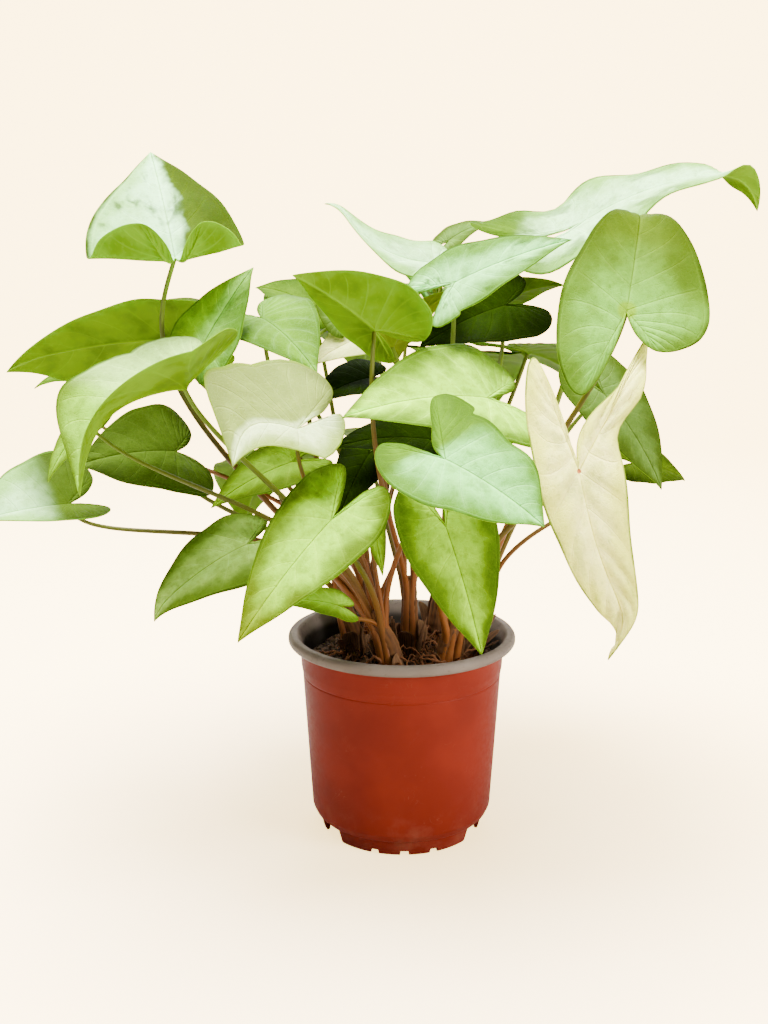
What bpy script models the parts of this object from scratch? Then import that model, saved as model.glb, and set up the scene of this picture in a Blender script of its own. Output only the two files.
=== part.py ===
"""Arrowhead plant (Syngonium) in a round plastic nursery pot.

The frame's origin is the middle of the pot's foot, on the surface that the pot stands on. +Z is up and
the side of the plant that shows best faces -Y. Lengths are in metres unless a name ends in _MM.
"""

import math

import bpy
import numpy as np
from mathutils import Vector
from mathutils.kdtree import KDTree

# Pot
POT_HEIGHT = 0.1075
RIM_RADIUS = 0.060
WALL = 0.0014
POT_SIDES = 36
# Outside of the pot as (radius, height) in mm, from the middle of the underside up to the rim.
POT_OUTSIDE_MM = [
    (12.0, 0.0), (13.5, 8.4), (40.2, 8.4), (40.9, 0.0), (42.6, 0.0), (44.6, 8.6), (46.4, 9.0), (48.1, 12.6),
    (52.6, 87.0), (53.3, 90.5), (53.8, 102.2), (58.6, 102.0), (60.0, 103.6), (60.0, 106.0), (58.8, 107.5),
    (55.6, 107.5),
]
# Inside of the pot, from the rim down to the middle of the floor.
POT_INSIDE_MM = [(54.5, 106.2), (52.2, 101.0), (51.1, 86.0), (46.7, 15.0), (45.2, 9.9)]
FOOT_TURN = math.radians(1.5)
FOOT_GAP = math.radians(24)
NOTCH_WIDTH = math.radians(7.5)
NOTCH_STEP = math.radians(21)
NOTCH_HEIGHT = 0.0025
DRAIN_HOLES = 6
DRAIN_RING = 0.027
DRAIN_RADIUS = 0.0035

# Soil
SOIL_TOP = 0.0955
SOIL_SINK = 0.004
FIT = 0.0003

# Stems: where each short stem stands, in mm, how high it reaches and how it leans
STEM_RADIUS = 0.0050
STEM_TOP_RADIUS = 0.0034
STEM_FOOT = 0.070
STALK_ROOT_RADIUS = 0.0021
STALK_TIP_RADIUS = 0.0014
STALK_POINTS = 40
STALK_RINGS = [0, 5, 11, 18, 25, 32, 39]
STEMS = {
    "a": dict(foot=(-5, -27), top=(-16, -27, 126)),
    "b": dict(foot=(22, -24), top=(30, -26, 128)),
    "c": dict(foot=(-24, -5), top=(-34, -6, 130)),
    "d": dict(foot=(35, -2), top=(45, -2, 132)),
    "e": dict(foot=(4, -4), top=(4, -6, 138)),
    "f": dict(foot=(-14, 22), top=(-20, 27, 134)),
    "g": dict(foot=(19, 21), top=(25, 27, 136)),
}

# Leaf blades
BLADE_THICKNESS = 0.0008
BLADE_ALONG = 12
BLADE_ACROSS = 2
SMALL_BLADE = 0.045
SWEEP = 0.55
SINUS = 0.08
LOBE_VEIN = 0.75
# Half of a flat blade in leaf lengths: x runs from the stalk's joint to the tip, y out from the midrib.
# It starts at the notch, rounds the lobe behind the joint and follows the side to the tip.
HALF_OUTLINE = np.array([
    (-0.015, 0.000), (-0.110, 0.022), (-0.250, 0.072), (-0.360, 0.145), (-0.400, 0.215), (-0.355, 0.315),
    (-0.220, 0.415), (0.000, 0.450), (0.220, 0.415), (0.450, 0.325), (0.680, 0.205), (0.870, 0.080), (1.000, 0.000),
])
OUTLINE_LOBE = 0.40
OUTLINE_WIDTH = 0.45

GREENS = {
    "mint": (0.52, 0.72, 0.42), "lime": (0.42, 0.60, 0.09), "olive": (0.22, 0.30, 0.04), "green": (0.16, 0.36, 0.06),
    "sage": (0.30, 0.44, 0.18), "cream": (0.78, 0.75, 0.48), "beige": (0.62, 0.60, 0.24), "pale": (0.40, 0.62, 0.22),
    "bright": (0.25, 0.52, 0.08), "white": (0.72, 0.82, 0.62), "dark": (0.05, 0.16, 0.02),
}
"""One row per leaf: number, stem, colour, the joint with its stalk and the tip (mm), the way the upper face
looks, then its form. width and lobes are in leaf lengths. fold lifts each half from the midrib, curl turns
its margin up, droop bends the midrib down, hook bends the end of it more, dip lowers the lobes, all in
degrees. taper narrows the front of a half and slim its lobe, as shares. Pairs are the left and right half."""
LEAVES = [
    (1, "a", "mint", (-108, -30, 301), (-128, 25, 353), (0.1, -0.6, 0.8),
     dict(width=(0.52, 0.42), lobes=0.33, spread=(-8, -5), taper=(0.2, 0.05), fold=8, curl=0, droop=20,
          dip=-115, dip_at=0.5)),
    (2, "a", "lime", (-124, 26, 259), (-207, 20, 242), (-0.1, 0.8, 0.55),
     dict(width=(0.3, 0.3), taper=(0, -0.8), fold=10, droop=25, hook=25)),
    (3, "f", "olive", (-106, 42, 271), (-139, 54, 275), (0, -0.3, 1), dict(width=0.38)),
    (4, "a", "lime", (-101, -60, 243), (-146, -80, 196), (-0.1, -0.9, 0.42),
     dict(width=(0.5, 0.55), taper=(0, -0.8), fold=(75, -10), curl=(10, -15), sway=-0.2)),
    (5, "a", "mint", (-96, -28, 260), (-73, -12, 296), (-0.3, -0.8, 0.5), dict(droop=15)),
    (6, "c", "mint", (-70, -5, 271), (-41, -40, 247), (0, -0.5, 0.85), dict(width=0.5)),
    (7, "f", "green", (-47, 28, 276), (-78, 42, 285), (0, -0.5, 0.85), dict(width=0.5)),
    (8, "f", "sage", (-32, 8, 271), (-46, 18, 287), (0, -0.8, 0.5), dict(width=0.4)),
    (9, "e", "lime", (-14, -42, 268), (-50, -66, 293), (0.1, 0.75, 0.65),
     dict(width=(0.56, 0.3), fold=(20, 10), droop=20)),
    (10, "e", "beige", (-6, -6, 258), (28, -7, 286), (-0.4, 0.7, 0.6), dict(width=0.28, lobes=0.15)),
    (11, "f", "cream", (-16, 12, 262), (-46, 0, 247), (0, -0.6, 0.8), dict(width=0.45)),
    (12, "c", "cream", (-48, -78, 226), (-74, -102, 213), (-0.1, -0.95, 0.3),
     dict(width=(0.5, 0.95), lobes=(0.72, 0.85), spread=(-14, -10), taper=(0, -0.7), droop=20, sway=-0.3)),
    (13, "b", "pale", (39, -45, 236), (-28, -78, 231), (-0.1, -0.7, 0.7), dict(width=0.45, lobes=0.36)),
    (14, "a", "mint", (17, -100, 216), (58, -116, 190), (0.1, -0.8, 0.6),
     dict(width=0.5, lobes=(0.65, 0.55), spread=(28, -10), taper=(-0.5, -0.2))),
    (15, "a", "bright", (-33, -85, 186), (-73, -110, 137), (-0.1, -0.85, 0.5),
     dict(width=0.33, lobes=0.42, spread=(-8, 8))),
    (16, "b", "bright", (18, -90, 184), (34, -100, 128), (0.1, -0.9, 0.4), dict(width=0.37)),
    (17, "b", "cream", (76, -90, 209), (91, -95, 124), (0, -0.9, 0.35),
     dict(width=(0.22, 0.22), lobes=(0.85, 0.62), spread=(34, 0), taper=(0, -0.3), slim=(0.25, 0),
          roll=100, roll_at=0.66, roll_by=0.3, sway=0.1, sway_at=3.0)),
    (18, "d", "sage", (100, -60, 277), (113, -10, 317), (0, -0.75, 0.65),
     dict(width=(0.42, 0.5), lobes=(0.58, 0.24), taper=(-0.15, -0.1), droop=30, hook=60, hook_at=0.6)),
    (19, "d", "mint", (94, 28, 319), (183, 28, 324), (0, -0.4, 0.9),
     dict(width=(0.24, 0.33), lobes=(0.6, 0.5), fold=(25, 5), droop=45, hook=60, hook_at=0.6, dip=-55,
          twist=-25, roll=-60, roll_at=0.65, wave=0.03)),
    (20, "g", "mint", (25, -20, 289), (80, -22, 309), (0, -0.7, 0.7),
     dict(width=0.33, spread=(0, 27), droop=20)),
    (21, "e", "white", (15, 24, 298), (-39, 9, 327), (0, -0.5, 0.85),
     dict(width=(0.33, 0.3), lobes=0.24, taper=0.2, droop=-20, hook=60, hook_at=0.8, sway=0.2)),
    (22, "e", "mint", (11, 38, 286), (-6, 32, 298), (0, -0.6, 0.8), dict(width=0.4)),
    (23, "g", "sage", (26, 52, 310), (48, 56, 319), (0, -0.5, 0.85), dict(width=0.4)),
    (24, "g", "dark", (54, 31, 276), (9, 18, 255), (0, -0.75, 0.65), dict(width=0.5)),
    (25, "g", "olive", (58, 68, 278), (89, 54, 286), (0, 0.5, 0.85), dict(width=0.45)),
    (26, "d", "sage", (97, -30, 236), (127, -30, 189), (0.2, -0.8, 0.5), dict(width=0.33)),
    (27, "d", "olive", (118, -10, 199), (146, 0, 188), (0, -0.5, 0.85), dict(width=0.55)),
    (28, "a", "sage", (-115, -10, 205), (-158, -35, 202), (0, -0.7, 0.7),
     dict(width=(0.65, 0.6), lobes=0.28, taper=(-0.3, 0))),
    (29, "a", "white", (-168, -20, 180), (-210, -35, 174), (0, -0.9, 0.5),
     dict(width=(0.4, 0.75), taper=(0, -0.3), fold=(50, -5))),
    (30, "a", "lime", (-149, -48, 224), (-168, -52, 197), (-0.3, -0.6, 0.7), dict(width=0.3)),
    (31, "f", "green", (-176, 58, 237), (-203, 54, 230), (0, -0.3, 0.9), dict(width=0.35)),
    (32, "c", "sage", (-76, -40, 164), (-119, -60, 131), (-0.35, -0.6, 0.7),
     dict(width=(0.5, 0.42), lobes=0.3, fold=(12, 10), hook=25)),
    (33, "a", "lime", (-32, -50, 136), (-66, -62, 141), (0, -0.5, 0.85), dict(width=0.28, lobes=0.3)),
    (34, "a", "bright", (-15, -50, 179), (-10, -55, 152), (0.1, -0.9, 0.4), dict(width=0.2)),
    (35, "e", "dark", (-17, -20, 205), (-32, -40, 175), (-0.2, -0.8, 0.5), dict(width=0.35)),
    (36, "c", "bright", (-55, -25, 202), (-94, -35, 181), (0, -0.65, 0.75), dict(width=0.35)),
    (37, "e", "dark", (14, -25, 213), (-36, -35, 210), (0, -0.5, 0.85), dict(width=0.35)),
    (38, "e", "dark", (-16, 12, 240), (-46, -5, 228), (0, -0.5, 0.85), dict(width=0.45)),
    (39, "b", "mint", (45, -45, 221), (66, -50, 211), (0, -0.5, 0.85), dict(width=0.4)),
    (40, "f", "green", (-55, 75, 225), (-105, 125, 190), (-0.3, 0.35, 0.9), dict()),
    (41, "f", "green", (-15, 85, 255), (-25, 160, 225), (0, 0.45, 0.9), dict()),
    (42, "g", "green", (35, 80, 245), (60, 150, 205), (0.2, 0.4, 0.9), dict()),
    (43, "g", "green", (70, 55, 250), (120, 95, 215), (0.3, 0.3, 0.9), dict()),
    (44, "f", "green", (-70, 50, 190), (-95, 105, 140), (-0.3, 0.5, 0.8), dict()),
    (45, "f", "green", (0, 75, 200), (10, 140, 155), (0, 0.55, 0.8), dict()),
    (46, "g", "green", (60, 60, 185), (95, 110, 145), (0.3, 0.5, 0.8), dict()),
    (47, "g", "green", (22, 78, 283), (40, 138, 262), (0.1, 0.3, 0.95), dict()),
    (48, "f", "green", (-45, 72, 280), (-80, 122, 265), (-0.2, 0.3, 0.95), dict()),
]
LEAF_FORM = dict(
    width=0.42, lobes=0.4, spread=0, taper=0, slim=0, fold=14, curl=-18, droop=35, hook=0, hook_at=0.72,
    dip=10, dip_at=1.0, twist=0, roll=0, roll_at=0.8, roll_by=0.2, sway=0, sway_at=1.0, wave=0.012, waves=2.2,
    phase=0.0,
)


def clear_scene():
    for obj in list(bpy.data.objects):
        bpy.data.objects.remove(obj)


def material(name, colour, roughness, metallic=0.0):
    found = bpy.data.materials.get(name)
    if found:
        return found
    made = bpy.data.materials.new(name)
    made.use_nodes = True
    shader = made.node_tree.nodes["Principled BSDF"]
    shader.inputs["Base Color"].default_value = (*colour, 1)
    shader.inputs["Roughness"].default_value = roughness
    shader.inputs["Metallic"].default_value = metallic
    made.diffuse_color = (*colour, 1)
    return made


def mesh_object(name, points, faces, surface=None):
    mesh = bpy.data.meshes.new(name)
    mesh.from_pydata([tuple(map(float, p)) for p in points], [], [tuple(map(int, f)) for f in faces])
    mesh.update()
    if surface:
        mesh.materials.append(surface)
        mesh.shade_smooth()
    made = bpy.data.objects.new(name, mesh)
    bpy.context.scene.collection.objects.link(made)
    return made


def boolean(target, cutters, operation, solver="EXACT"):
    """Cuts or joins every object of a list at once, applies it and removes the objects of the list."""
    group = bpy.data.collections.new(target.name + "_tools")
    bpy.context.scene.collection.children.link(group)
    for cutter in cutters:
        bpy.context.scene.collection.objects.unlink(cutter)
        group.objects.link(cutter)
    step = target.modifiers.new("Boolean", "BOOLEAN")
    step.operation = operation
    step.operand_type = "COLLECTION"
    step.collection = group
    step.solver = solver
    bpy.context.view_layer.update()
    graph = bpy.context.evaluated_depsgraph_get()
    done = bpy.data.meshes.new_from_object(target.evaluated_get(graph))
    target.modifiers.remove(step)
    target.data = done
    for cutter in cutters:
        bpy.data.objects.remove(cutter)
    bpy.data.collections.remove(group)


# Shapes


def smooth(t):
    t = np.clip(t, 0, 1)
    return t * t * (3 - 2 * t)


def unit(v):
    v = np.asarray(v, float)
    return v / np.linalg.norm(v)


def through(values, count):
    """A smooth line through the given points, read at evenly spaced steps."""
    p = np.vstack([2 * values[0] - values[1], values, 2 * values[-1] - values[-2]])
    t = np.linspace(0, len(values) - 1, count)
    i = np.minimum(t.astype(int), len(values) - 2)
    f = (t - i)[:, None]
    a, b, c, d = p[i], p[i + 1], p[i + 2], p[i + 3]
    return 0.5 * (2 * b + (c - a) * f + (2 * a - 5 * b + 4 * c - d) * f**2 + (3 * b - a - 3 * c + d) * f**3)


def turned(profile, sides, closed_ends=True):
    """Points and faces of a profile of (radius, height) turned about Z. Both ends close on the axis."""
    profile = np.asarray(profile, float)
    angle = np.arange(sides) * 2 * math.pi / sides
    rings = [np.stack([r * np.cos(angle), r * np.sin(angle), np.full(sides, z)], 1) for r, z in profile]
    points = np.concatenate(rings + [[(0, 0, profile[0][1]), (0, 0, profile[-1][1])]])
    first, last = len(points) - 2, len(points) - 1
    k = np.arange(sides)
    n = (k + 1) % sides
    faces = []
    for i in range(len(profile) - 1):
        a, b = i * sides, (i + 1) * sides
        faces += [(a + p, a + q, b + q, b + p) for p, q in zip(k, n)]
    faces += [(first, q, p) for p, q in zip(k, n)]
    end = (len(profile) - 1) * sides
    faces += [(last, end + p, end + q) for p, q in zip(k, n)]
    return points, faces


def bezier(p0, p1, p2, p3, count):
    t = np.linspace(0, 1, count)[:, None]
    return (1 - t) ** 3 * p0 + 3 * (1 - t) ** 2 * t * p1 + 3 * (1 - t) * t**2 * p2 + t**3 * p3


def tube(path, radii, sides, last=None):
    """A closed tube along a path, with rings kept square to it and carried along without twisting."""
    path = np.asarray(path, float)
    ahead = np.gradient(path, axis=0)
    if last is not None:
        ahead[-1] = last
    ahead /= np.linalg.norm(ahead, axis=1)[:, None]
    side = unit(np.cross(ahead[0], (0.3, 1, 0.2)))
    rings = []
    angle = np.arange(sides) * 2 * math.pi / sides
    for point, along, radius in zip(path, ahead, radii):
        side = unit(side - along * (side @ along))
        up = np.cross(along, side)
        rings.append(point + radius * (np.cos(angle)[:, None] * side + np.sin(angle)[:, None] * up))
    points = np.concatenate(rings + [[path[0], path[-1]]])
    faces = []
    k = np.arange(sides)
    n = (k + 1) % sides
    for i in range(len(path) - 1):
        a, b = i * sides, (i + 1) * sides
        faces += [(a + p, a + q, b + q, b + p) for p, q in zip(k, n)]
    end = (len(path) - 1) * sides
    faces += [(len(points) - 2, q, p) for p, q in zip(k, n)]
    faces += [(len(points) - 1, end + p, end + q) for p, q in zip(k, n)]
    return points, faces


# Leaf blades


def half_blade(along, across, form, side):
    """Grid of one flat half, with rows that follow the side veins out to the margin.

    The rows of the lobe start on its own vein, which runs from the joint towards the lobe's end, and the
    others on the midrib. along is a multiple of 12, so that the rows on both sides of the lobe's vein meet.
    """
    width, lobe, spread, taper, slim = (form[key][side] for key in ("width", "lobes", "spread", "taper", "slim"))
    o = through(HALF_OUTLINE, along + 1)
    t = np.linspace(0, 1, along + 1)
    rib = o[:, 0] - SWEEP * np.maximum(o[:, 1], 0) * sum(form["width"]) / 2 / OUTLINE_WIDTH
    rib = np.where(t > 2 / 3, np.clip(rib - max(rib[2 * along // 3], 0) * 3 * (1 - t), 0, 1), 0)
    back = smooth(-o[:, 0] / OUTLINE_LOBE / 0.6)
    narrow = (1 - taper * smooth((o[:, 0] - 0.3) / 0.45)) * (1 - slim * back)
    o[:, 1] = np.maximum(o[:, 1], 0) * width / OUTLINE_WIDTH * narrow
    o[:, 0] = np.where(o[:, 0] < 0, o[:, 0] * lobe / OUTLINE_LOBE, o[:, 0])
    turn = -np.radians(spread) * back
    o = np.stack([o[:, 0] * np.cos(turn) - o[:, 1] * np.sin(turn), o[:, 0] * np.sin(turn) + o[:, 1] * np.cos(turn)], 1)
    away = np.maximum(np.arctan2(o[:, 1], -o[:, 0]), SINUS * smooth(12 * t))
    reach = np.hypot(o[:, 0], o[:, 1])
    o = np.stack([-reach * np.cos(away), reach * np.sin(away)], 1)
    o[0], o[-1] = HALF_OUTLINE[0], HALF_OUTLINE[-1]
    share = np.clip(1 - np.abs(3 * np.arange(along + 1) - along) / along, 0, 1)
    lobe_vein = LOBE_VEIN * share[:, None] * o[along // 3]
    inner = np.stack([rib, 0 * rib], 1) + lobe_vein
    v = np.linspace(0, 1, across + 1)[None, :, None]
    return inner[:, None] + v * (o - inner)[:, None]


def flat_blade(along, across, form):
    """Flat points, triangles wound to face +Z, and the margin as a loop of points."""
    left = half_blade(along, across, form, 0)
    right = half_blade(along, across, form, 1) * [1, -1]
    points = np.stack([left, right]).reshape(-1, 2)
    index = np.arange(len(points)).reshape(2, along + 1, across + 1)
    a, b, c, d = index[:, :-1, :-1], index[:, 1:, :-1], index[:, 1:, 1:], index[:, :-1, 1:]
    tri = np.concatenate([np.stack([a, b, c], -1).reshape(2, -1, 3), np.stack([a, c, d], -1).reshape(2, -1, 3)], 1)
    tri = np.concatenate([tri[0], tri[1][:, ::-1]])
    _, first, inverse = np.unique(np.round(points, 6), axis=0, return_index=True, return_inverse=True)
    inverse = inverse.reshape(-1)
    tri = inverse[tri]
    tri = tri[(tri[:, 0] != tri[:, 1]) & (tri[:, 1] != tri[:, 2]) & (tri[:, 0] != tri[:, 2])]
    loop = inverse[np.concatenate([index[0, :, -1], index[1, ::-1, -1]])]
    loop = loop[np.concatenate([[True], loop[1:] != loop[:-1]])]
    if loop[0] == loop[-1]:
        loop = loop[:-1]
    return points[first], tri, loop


def bend(flat, form):
    """Bends flat points (leaf lengths) into the leaf's own shape, with the joint at the origin."""
    rad = np.radians
    x, y = flat[:, 0], flat[:, 1]
    lobe = max(form["lobes"])
    s = np.linspace(-1.2 * lobe, 1.0, 400)
    hook_at = form["hook_at"]
    forward = rad(form["droop"]) * s + rad(form["hook"]) * smooth((s - hook_at) / (1 - hook_at))
    pitch = np.where(s >= 0, forward, -rad(form["dip"]) * np.minimum(-s / (lobe * form["dip_at"]), 1.0))
    step = s[1] - s[0]
    rib_x = np.concatenate([[0], np.cumsum((np.cos(pitch[1:]) + np.cos(pitch[:-1])) / 2)]) * step
    rib_z = -np.concatenate([[0], np.cumsum((np.sin(pitch[1:]) + np.sin(pitch[:-1])) / 2)]) * step
    rib_x -= np.interp(0, s, rib_x)
    rib_z -= np.interp(0, s, rib_z)
    at_x, at_z, at_pitch = np.interp(x, s, rib_x), np.interp(x, s, rib_z), np.interp(x, s, pitch)
    left = y >= 0
    out = np.abs(y)
    width = np.where(left, form["width"][0], form["width"][1])
    fold = np.where(left, rad(form["fold"][0]), rad(form["fold"][1]))
    curl = np.where(left, rad(form["curl"][0]), rad(form["curl"][1])) / width
    curl = np.where(np.abs(curl) < 1e-4, 1e-4, curl)
    across = (np.sin(fold + curl * out) - np.sin(fold)) / curl
    lift = (np.cos(fold) - np.cos(fold + curl * out)) / curl
    beat = form["waves"] * x + form["phase"] + np.where(left, 0, 0.37)
    lift = lift + form["wave"] * np.sin(2 * np.pi * beat) * (out / width) ** 2
    across = np.where(left, across, -across)
    end_turn = rad(form["roll"]) * smooth((x - form["roll_at"]) / form["roll_by"])
    for turn in (rad(form["twist"]) * np.clip(x, 0, 1), end_turn):
        across, lift = across * np.cos(turn) - lift * np.sin(turn), across * np.sin(turn) + lift * np.cos(turn)
    across = across + form["sway"] * np.sin(np.pi * np.clip(x, 0, 1) ** form["sway_at"])
    return np.stack([at_x + lift * np.sin(at_pitch), across, at_z + lift * np.cos(at_pitch)], 1)


def axes_of(chord, face):
    a = unit(chord)
    face = np.asarray(face, float)
    c = unit(face - a * (face @ a))
    return np.stack([a, np.cross(c, a), c], 1)


def leaf_form(given):
    form = dict(LEAF_FORM)
    form.update(given)
    for key in ("width", "lobes", "spread", "taper", "slim", "fold", "curl"):
        if not isinstance(form[key], tuple):
            form[key] = (form[key], form[key])
    return form


class Leaf:
    """A leaf's place and form: its joint, its tip, its length and the turn from its own axes to the plant's."""

    def __init__(self, row):
        self.number, self.stem, self.colour, base, tip, face, given = row
        self.name = f"leaf_{self.number:02d}"
        self.form = leaf_form(given)
        self.joint = np.array(base) / 1000
        self.tip = np.array(tip) / 1000
        end = bend(np.array([[1.0, 0.0]]), self.form)[0]
        chord = self.tip - self.joint
        self.length = np.linalg.norm(chord) / np.linalg.norm(end)
        self.turn = axes_of(chord, face) @ axes_of(end, (0, 0, 1)).T

    def place(self, flat):
        return self.joint + bend(flat, self.form) * self.length @ self.turn.T

    def normal(self):
        """The way the upper face looks at the joint."""
        return self.turn @ np.array([0, 0, 1.0])

    def forward(self):
        return self.turn @ np.array([1.0, 0, 0])

    def surface(self, along, across):
        flat, tri, loop = flat_blade(along, across, self.form)
        return self.place(flat), tri, loop


def point_normals(points, tri):
    face = np.cross(points[tri[:, 1]] - points[tri[:, 0]], points[tri[:, 2]] - points[tri[:, 0]])
    total = np.zeros_like(points)
    for k in range(3):
        np.add.at(total, tri[:, k], face)
    return total / np.maximum(np.linalg.norm(total, axis=1), 1e-12)[:, None]


def blade_solid(leaf):
    """The blade with the same triangles above and below, and a rim between them."""
    points, tri, loop = leaf.surface(BLADE_ALONG, 1 if leaf.length < SMALL_BLADE else BLADE_ACROSS)
    up = point_normals(points, tri) * BLADE_THICKNESS / 2
    k = len(points)
    a, b = loop, np.roll(loop, -1)
    edges = {tuple(edge) for edge in np.concatenate([tri[:, [0, 1]], tri[:, [1, 2]], tri[:, [2, 0]]]).tolist()}
    if (a[0], b[0]) not in edges:
        a, b = b, a
    rim = np.concatenate([np.stack([b, a, a + k], 1), np.stack([b, a + k, b + k], 1)])
    return np.concatenate([points + up, points - up]), np.concatenate([tri, tri[:, ::-1] + k, rim])


# Leaf stalks


def stem_path(stem):
    """Middle line of a short stem: straight down in the soil, then leaning to its top."""
    foot_x, foot_y = np.array(stem["foot"]) / 1000
    top = np.array(stem["top"]) / 1000
    low = np.array([foot_x, foot_y, STEM_FOOT])
    neck = np.array([foot_x, foot_y, SOIL_TOP + 0.004])
    rise = bezier(neck, neck + (0, 0, 0.012), top - (top - neck) * 0.3, top, 5)
    return np.vstack([low, rise])


def stalk_ends(leaf, path, share):
    """Where a stalk leaves its stem, where it ends under the blade, and the way that it arrives."""
    start = path[-4] * (1 - share) + path[-1] * share
    under = -leaf.normal()
    arrive = unit(-0.75 * under + 0.35 * leaf.forward() + np.array([0, 0, 0.35]))
    slope = max(arrive @ -under, 0.3)
    gap = (BLADE_THICKNESS / 2 + FIT * 2 + STALK_TIP_RADIUS * math.sqrt(1 - slope**2)) / slope
    return start, leaf.joint - arrive * gap, arrive


def stalk_path(start, end, arrive, bow, count=STALK_POINTS):
    """A leaf stalk: it rises from its stem, bows by the given offset and arrives under the blade."""
    reach = np.linalg.norm(end - start)
    out = end - start
    out[2] = 0
    lean = unit(np.array([0, 0, 1.0]) + 0.35 * out / max(np.linalg.norm(out), 1e-6))
    first = start + lean * reach * 0.42 + bow
    second = end - arrive * reach * 0.30 + bow
    return bezier(start, first, second, end, count)


def bows():
    """Offsets to try in turn, from none to the widest, in twelve directions."""
    yield np.zeros(3)
    for size in (0.006, 0.012, 0.018, 0.025, 0.033, 0.042, 0.052, 0.064):
        for k in range(12):
            angle = k * math.pi / 6
            yield np.array([math.cos(angle), math.sin(angle), 0.15 * math.sin(2 * angle)]) * size


def route_stalks(leaves, stems):
    """Chooses each stalk's bow: the smallest that keeps it clear of all blades and of other stems' stalks."""
    spots = []
    for leaf in leaves:
        points, _, _ = leaf.surface(48, 10)
        spots += [(point, leaf.number) for point in points]
    tree = KDTree(len(spots))
    for i, (point, _) in enumerate(spots):
        tree.insert(Vector(point), i)
    tree.balance()
    blade_clear = 0.0044
    stalk_clear = 0.0048
    laid = []
    routes = {}
    poor = []
    order = sorted(leaves, key=lambda leaf: np.linalg.norm(leaf.joint[:2]))
    counts = {key: sum(leaf.stem == key for leaf in leaves) for key in stems}
    seen = {key: 0 for key in stems}
    for leaf in order:
        path = stem_path(stems[leaf.stem])
        share = 0.25 + 0.65 * seen[leaf.stem] / max(counts[leaf.stem] - 1, 1)
        seen[leaf.stem] += 1
        start, end, arrive = stalk_ends(leaf, path, share)
        best = None
        for bow in bows():
            line = stalk_path(start, end, arrive, bow)
            worst = 1.0
            knots = line[STALK_RINGS]
            steps = np.linspace(0, len(knots) - 1, 5 * len(knots) - 4)
            straight = np.stack([np.interp(steps, np.arange(len(knots)), knots[:, k]) for k in range(3)], 1)
            for point in straight[5:]:
                near_joint = np.linalg.norm(point - leaf.joint)
                for _, i, distance in tree.find_range(Vector(point), blade_clear * 1.6):
                    if spots[i][1] == leaf.number and near_joint < 0.010:
                        continue
                    worst = min(worst, distance / blade_clear)
            for stem, other in laid:
                if stem != leaf.stem:
                    apart = np.sqrt(((straight[:, None] - other[None]) ** 2).sum(2)).min()
                    worst = min(worst, apart / stalk_clear)
            for key, other in stems.items():
                if key != leaf.stem:
                    apart = np.sqrt(((line[:, None] - stem_path(other)[None]) ** 2).sum(2)).min()
                    worst = min(worst, apart / (STEM_RADIUS + 0.0032))
            over_rim = line[line[:, 2] < POT_HEIGHT + 0.004]
            if len(over_rim) and np.hypot(over_rim[:, 0], over_rim[:, 1]).max() > 0.048:
                worst = min(worst, 0.1)
            if best is None or worst > best[0]:
                best = (worst, line, straight)
            if worst >= 1.0:
                break
        if best[0] < 1.0:
            poor.append((leaf.number, round(best[0], 2)))
        laid.append((leaf.stem, best[2]))
        routes[leaf.number] = best[1]
    return routes, poor


def stem_solids(stems, leaves, routes):
    bark = material("stem_bark", (0.36, 0.30, 0.08), 0.55)
    for key, stem in stems.items():
        path = stem_path(stem)
        radii = np.linspace(STEM_RADIUS, STEM_TOP_RADIUS, len(path))
        radii[:2] = STEM_RADIUS
        body = mesh_object("stem_" + key, *tube(path, radii, 9), bark)
        stalks = []
        for leaf in leaves:
            if leaf.stem != key:
                continue
            line = routes[leaf.number][STALK_RINGS]
            radii = np.linspace(STALK_ROOT_RADIUS, STALK_TIP_RADIUS, len(line))
            _, _, arrive = stalk_ends(leaf, path, 0)
            stalks.append(mesh_object("stalk", *tube(line, radii, 5, arrive)))
        boolean(body, stalks, "UNION")
        body.data.materials.clear()
        body.data.materials.append(bark)
        body.data.shade_smooth()


# Pot and soil


def wedge(inner, outer, low, high, middle, half, chamfer):
    """A block between two radii about Z, narrower at its top by the chamfer angle at each end."""
    points = []
    for z, part in ((low, half), (high, half - chamfer)):
        for radius in (inner, outer):
            points += [(radius * math.cos(middle + s * part), radius * math.sin(middle + s * part), z) for s in (-1, 1)]
    faces = [(0, 1, 3, 2), (4, 6, 7, 5), (0, 4, 5, 1), (2, 3, 7, 6), (0, 2, 6, 4), (1, 5, 7, 3)]
    return points, faces


def pot():
    profile = [(r / 1000, z / 1000) for r, z in POT_OUTSIDE_MM + POT_INSIDE_MM]
    body = mesh_object("pot", *turned(profile, POT_SIDES), material("pot_plastic", (0.38, 0.055, 0.02), 0.5))
    cutters = []
    front = -math.pi / 2 + FOOT_TURN
    for foot in range(3):
        middle = front + foot * 2 * math.pi / 3
        gap = middle + math.pi / 3
        cutters.append(mesh_object("gap", *wedge(0.0385, 0.052, -0.002, 0.0072, gap, FOOT_GAP / 2, 0.03)))
        for k in (-1, 0, 1):
            at = middle + k * NOTCH_STEP
            cutters.append(mesh_object("notch", *wedge(0.0385, 0.052, -0.002, NOTCH_HEIGHT, at, NOTCH_WIDTH / 2, 0.02)))
    for hole in range(DRAIN_HOLES):
        angle = hole * 2 * math.pi / DRAIN_HOLES
        spot = np.array([DRAIN_RING * math.cos(angle), DRAIN_RING * math.sin(angle), 0.005])
        line = np.linspace(spot, spot + (0, 0, 0.008), 2)
        cutters.append(mesh_object("drain", *tube(line, [DRAIN_RADIUS] * 2, 10)))
    boolean(body, cutters, "DIFFERENCE")
    body.data.shade_smooth()
    return body


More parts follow.
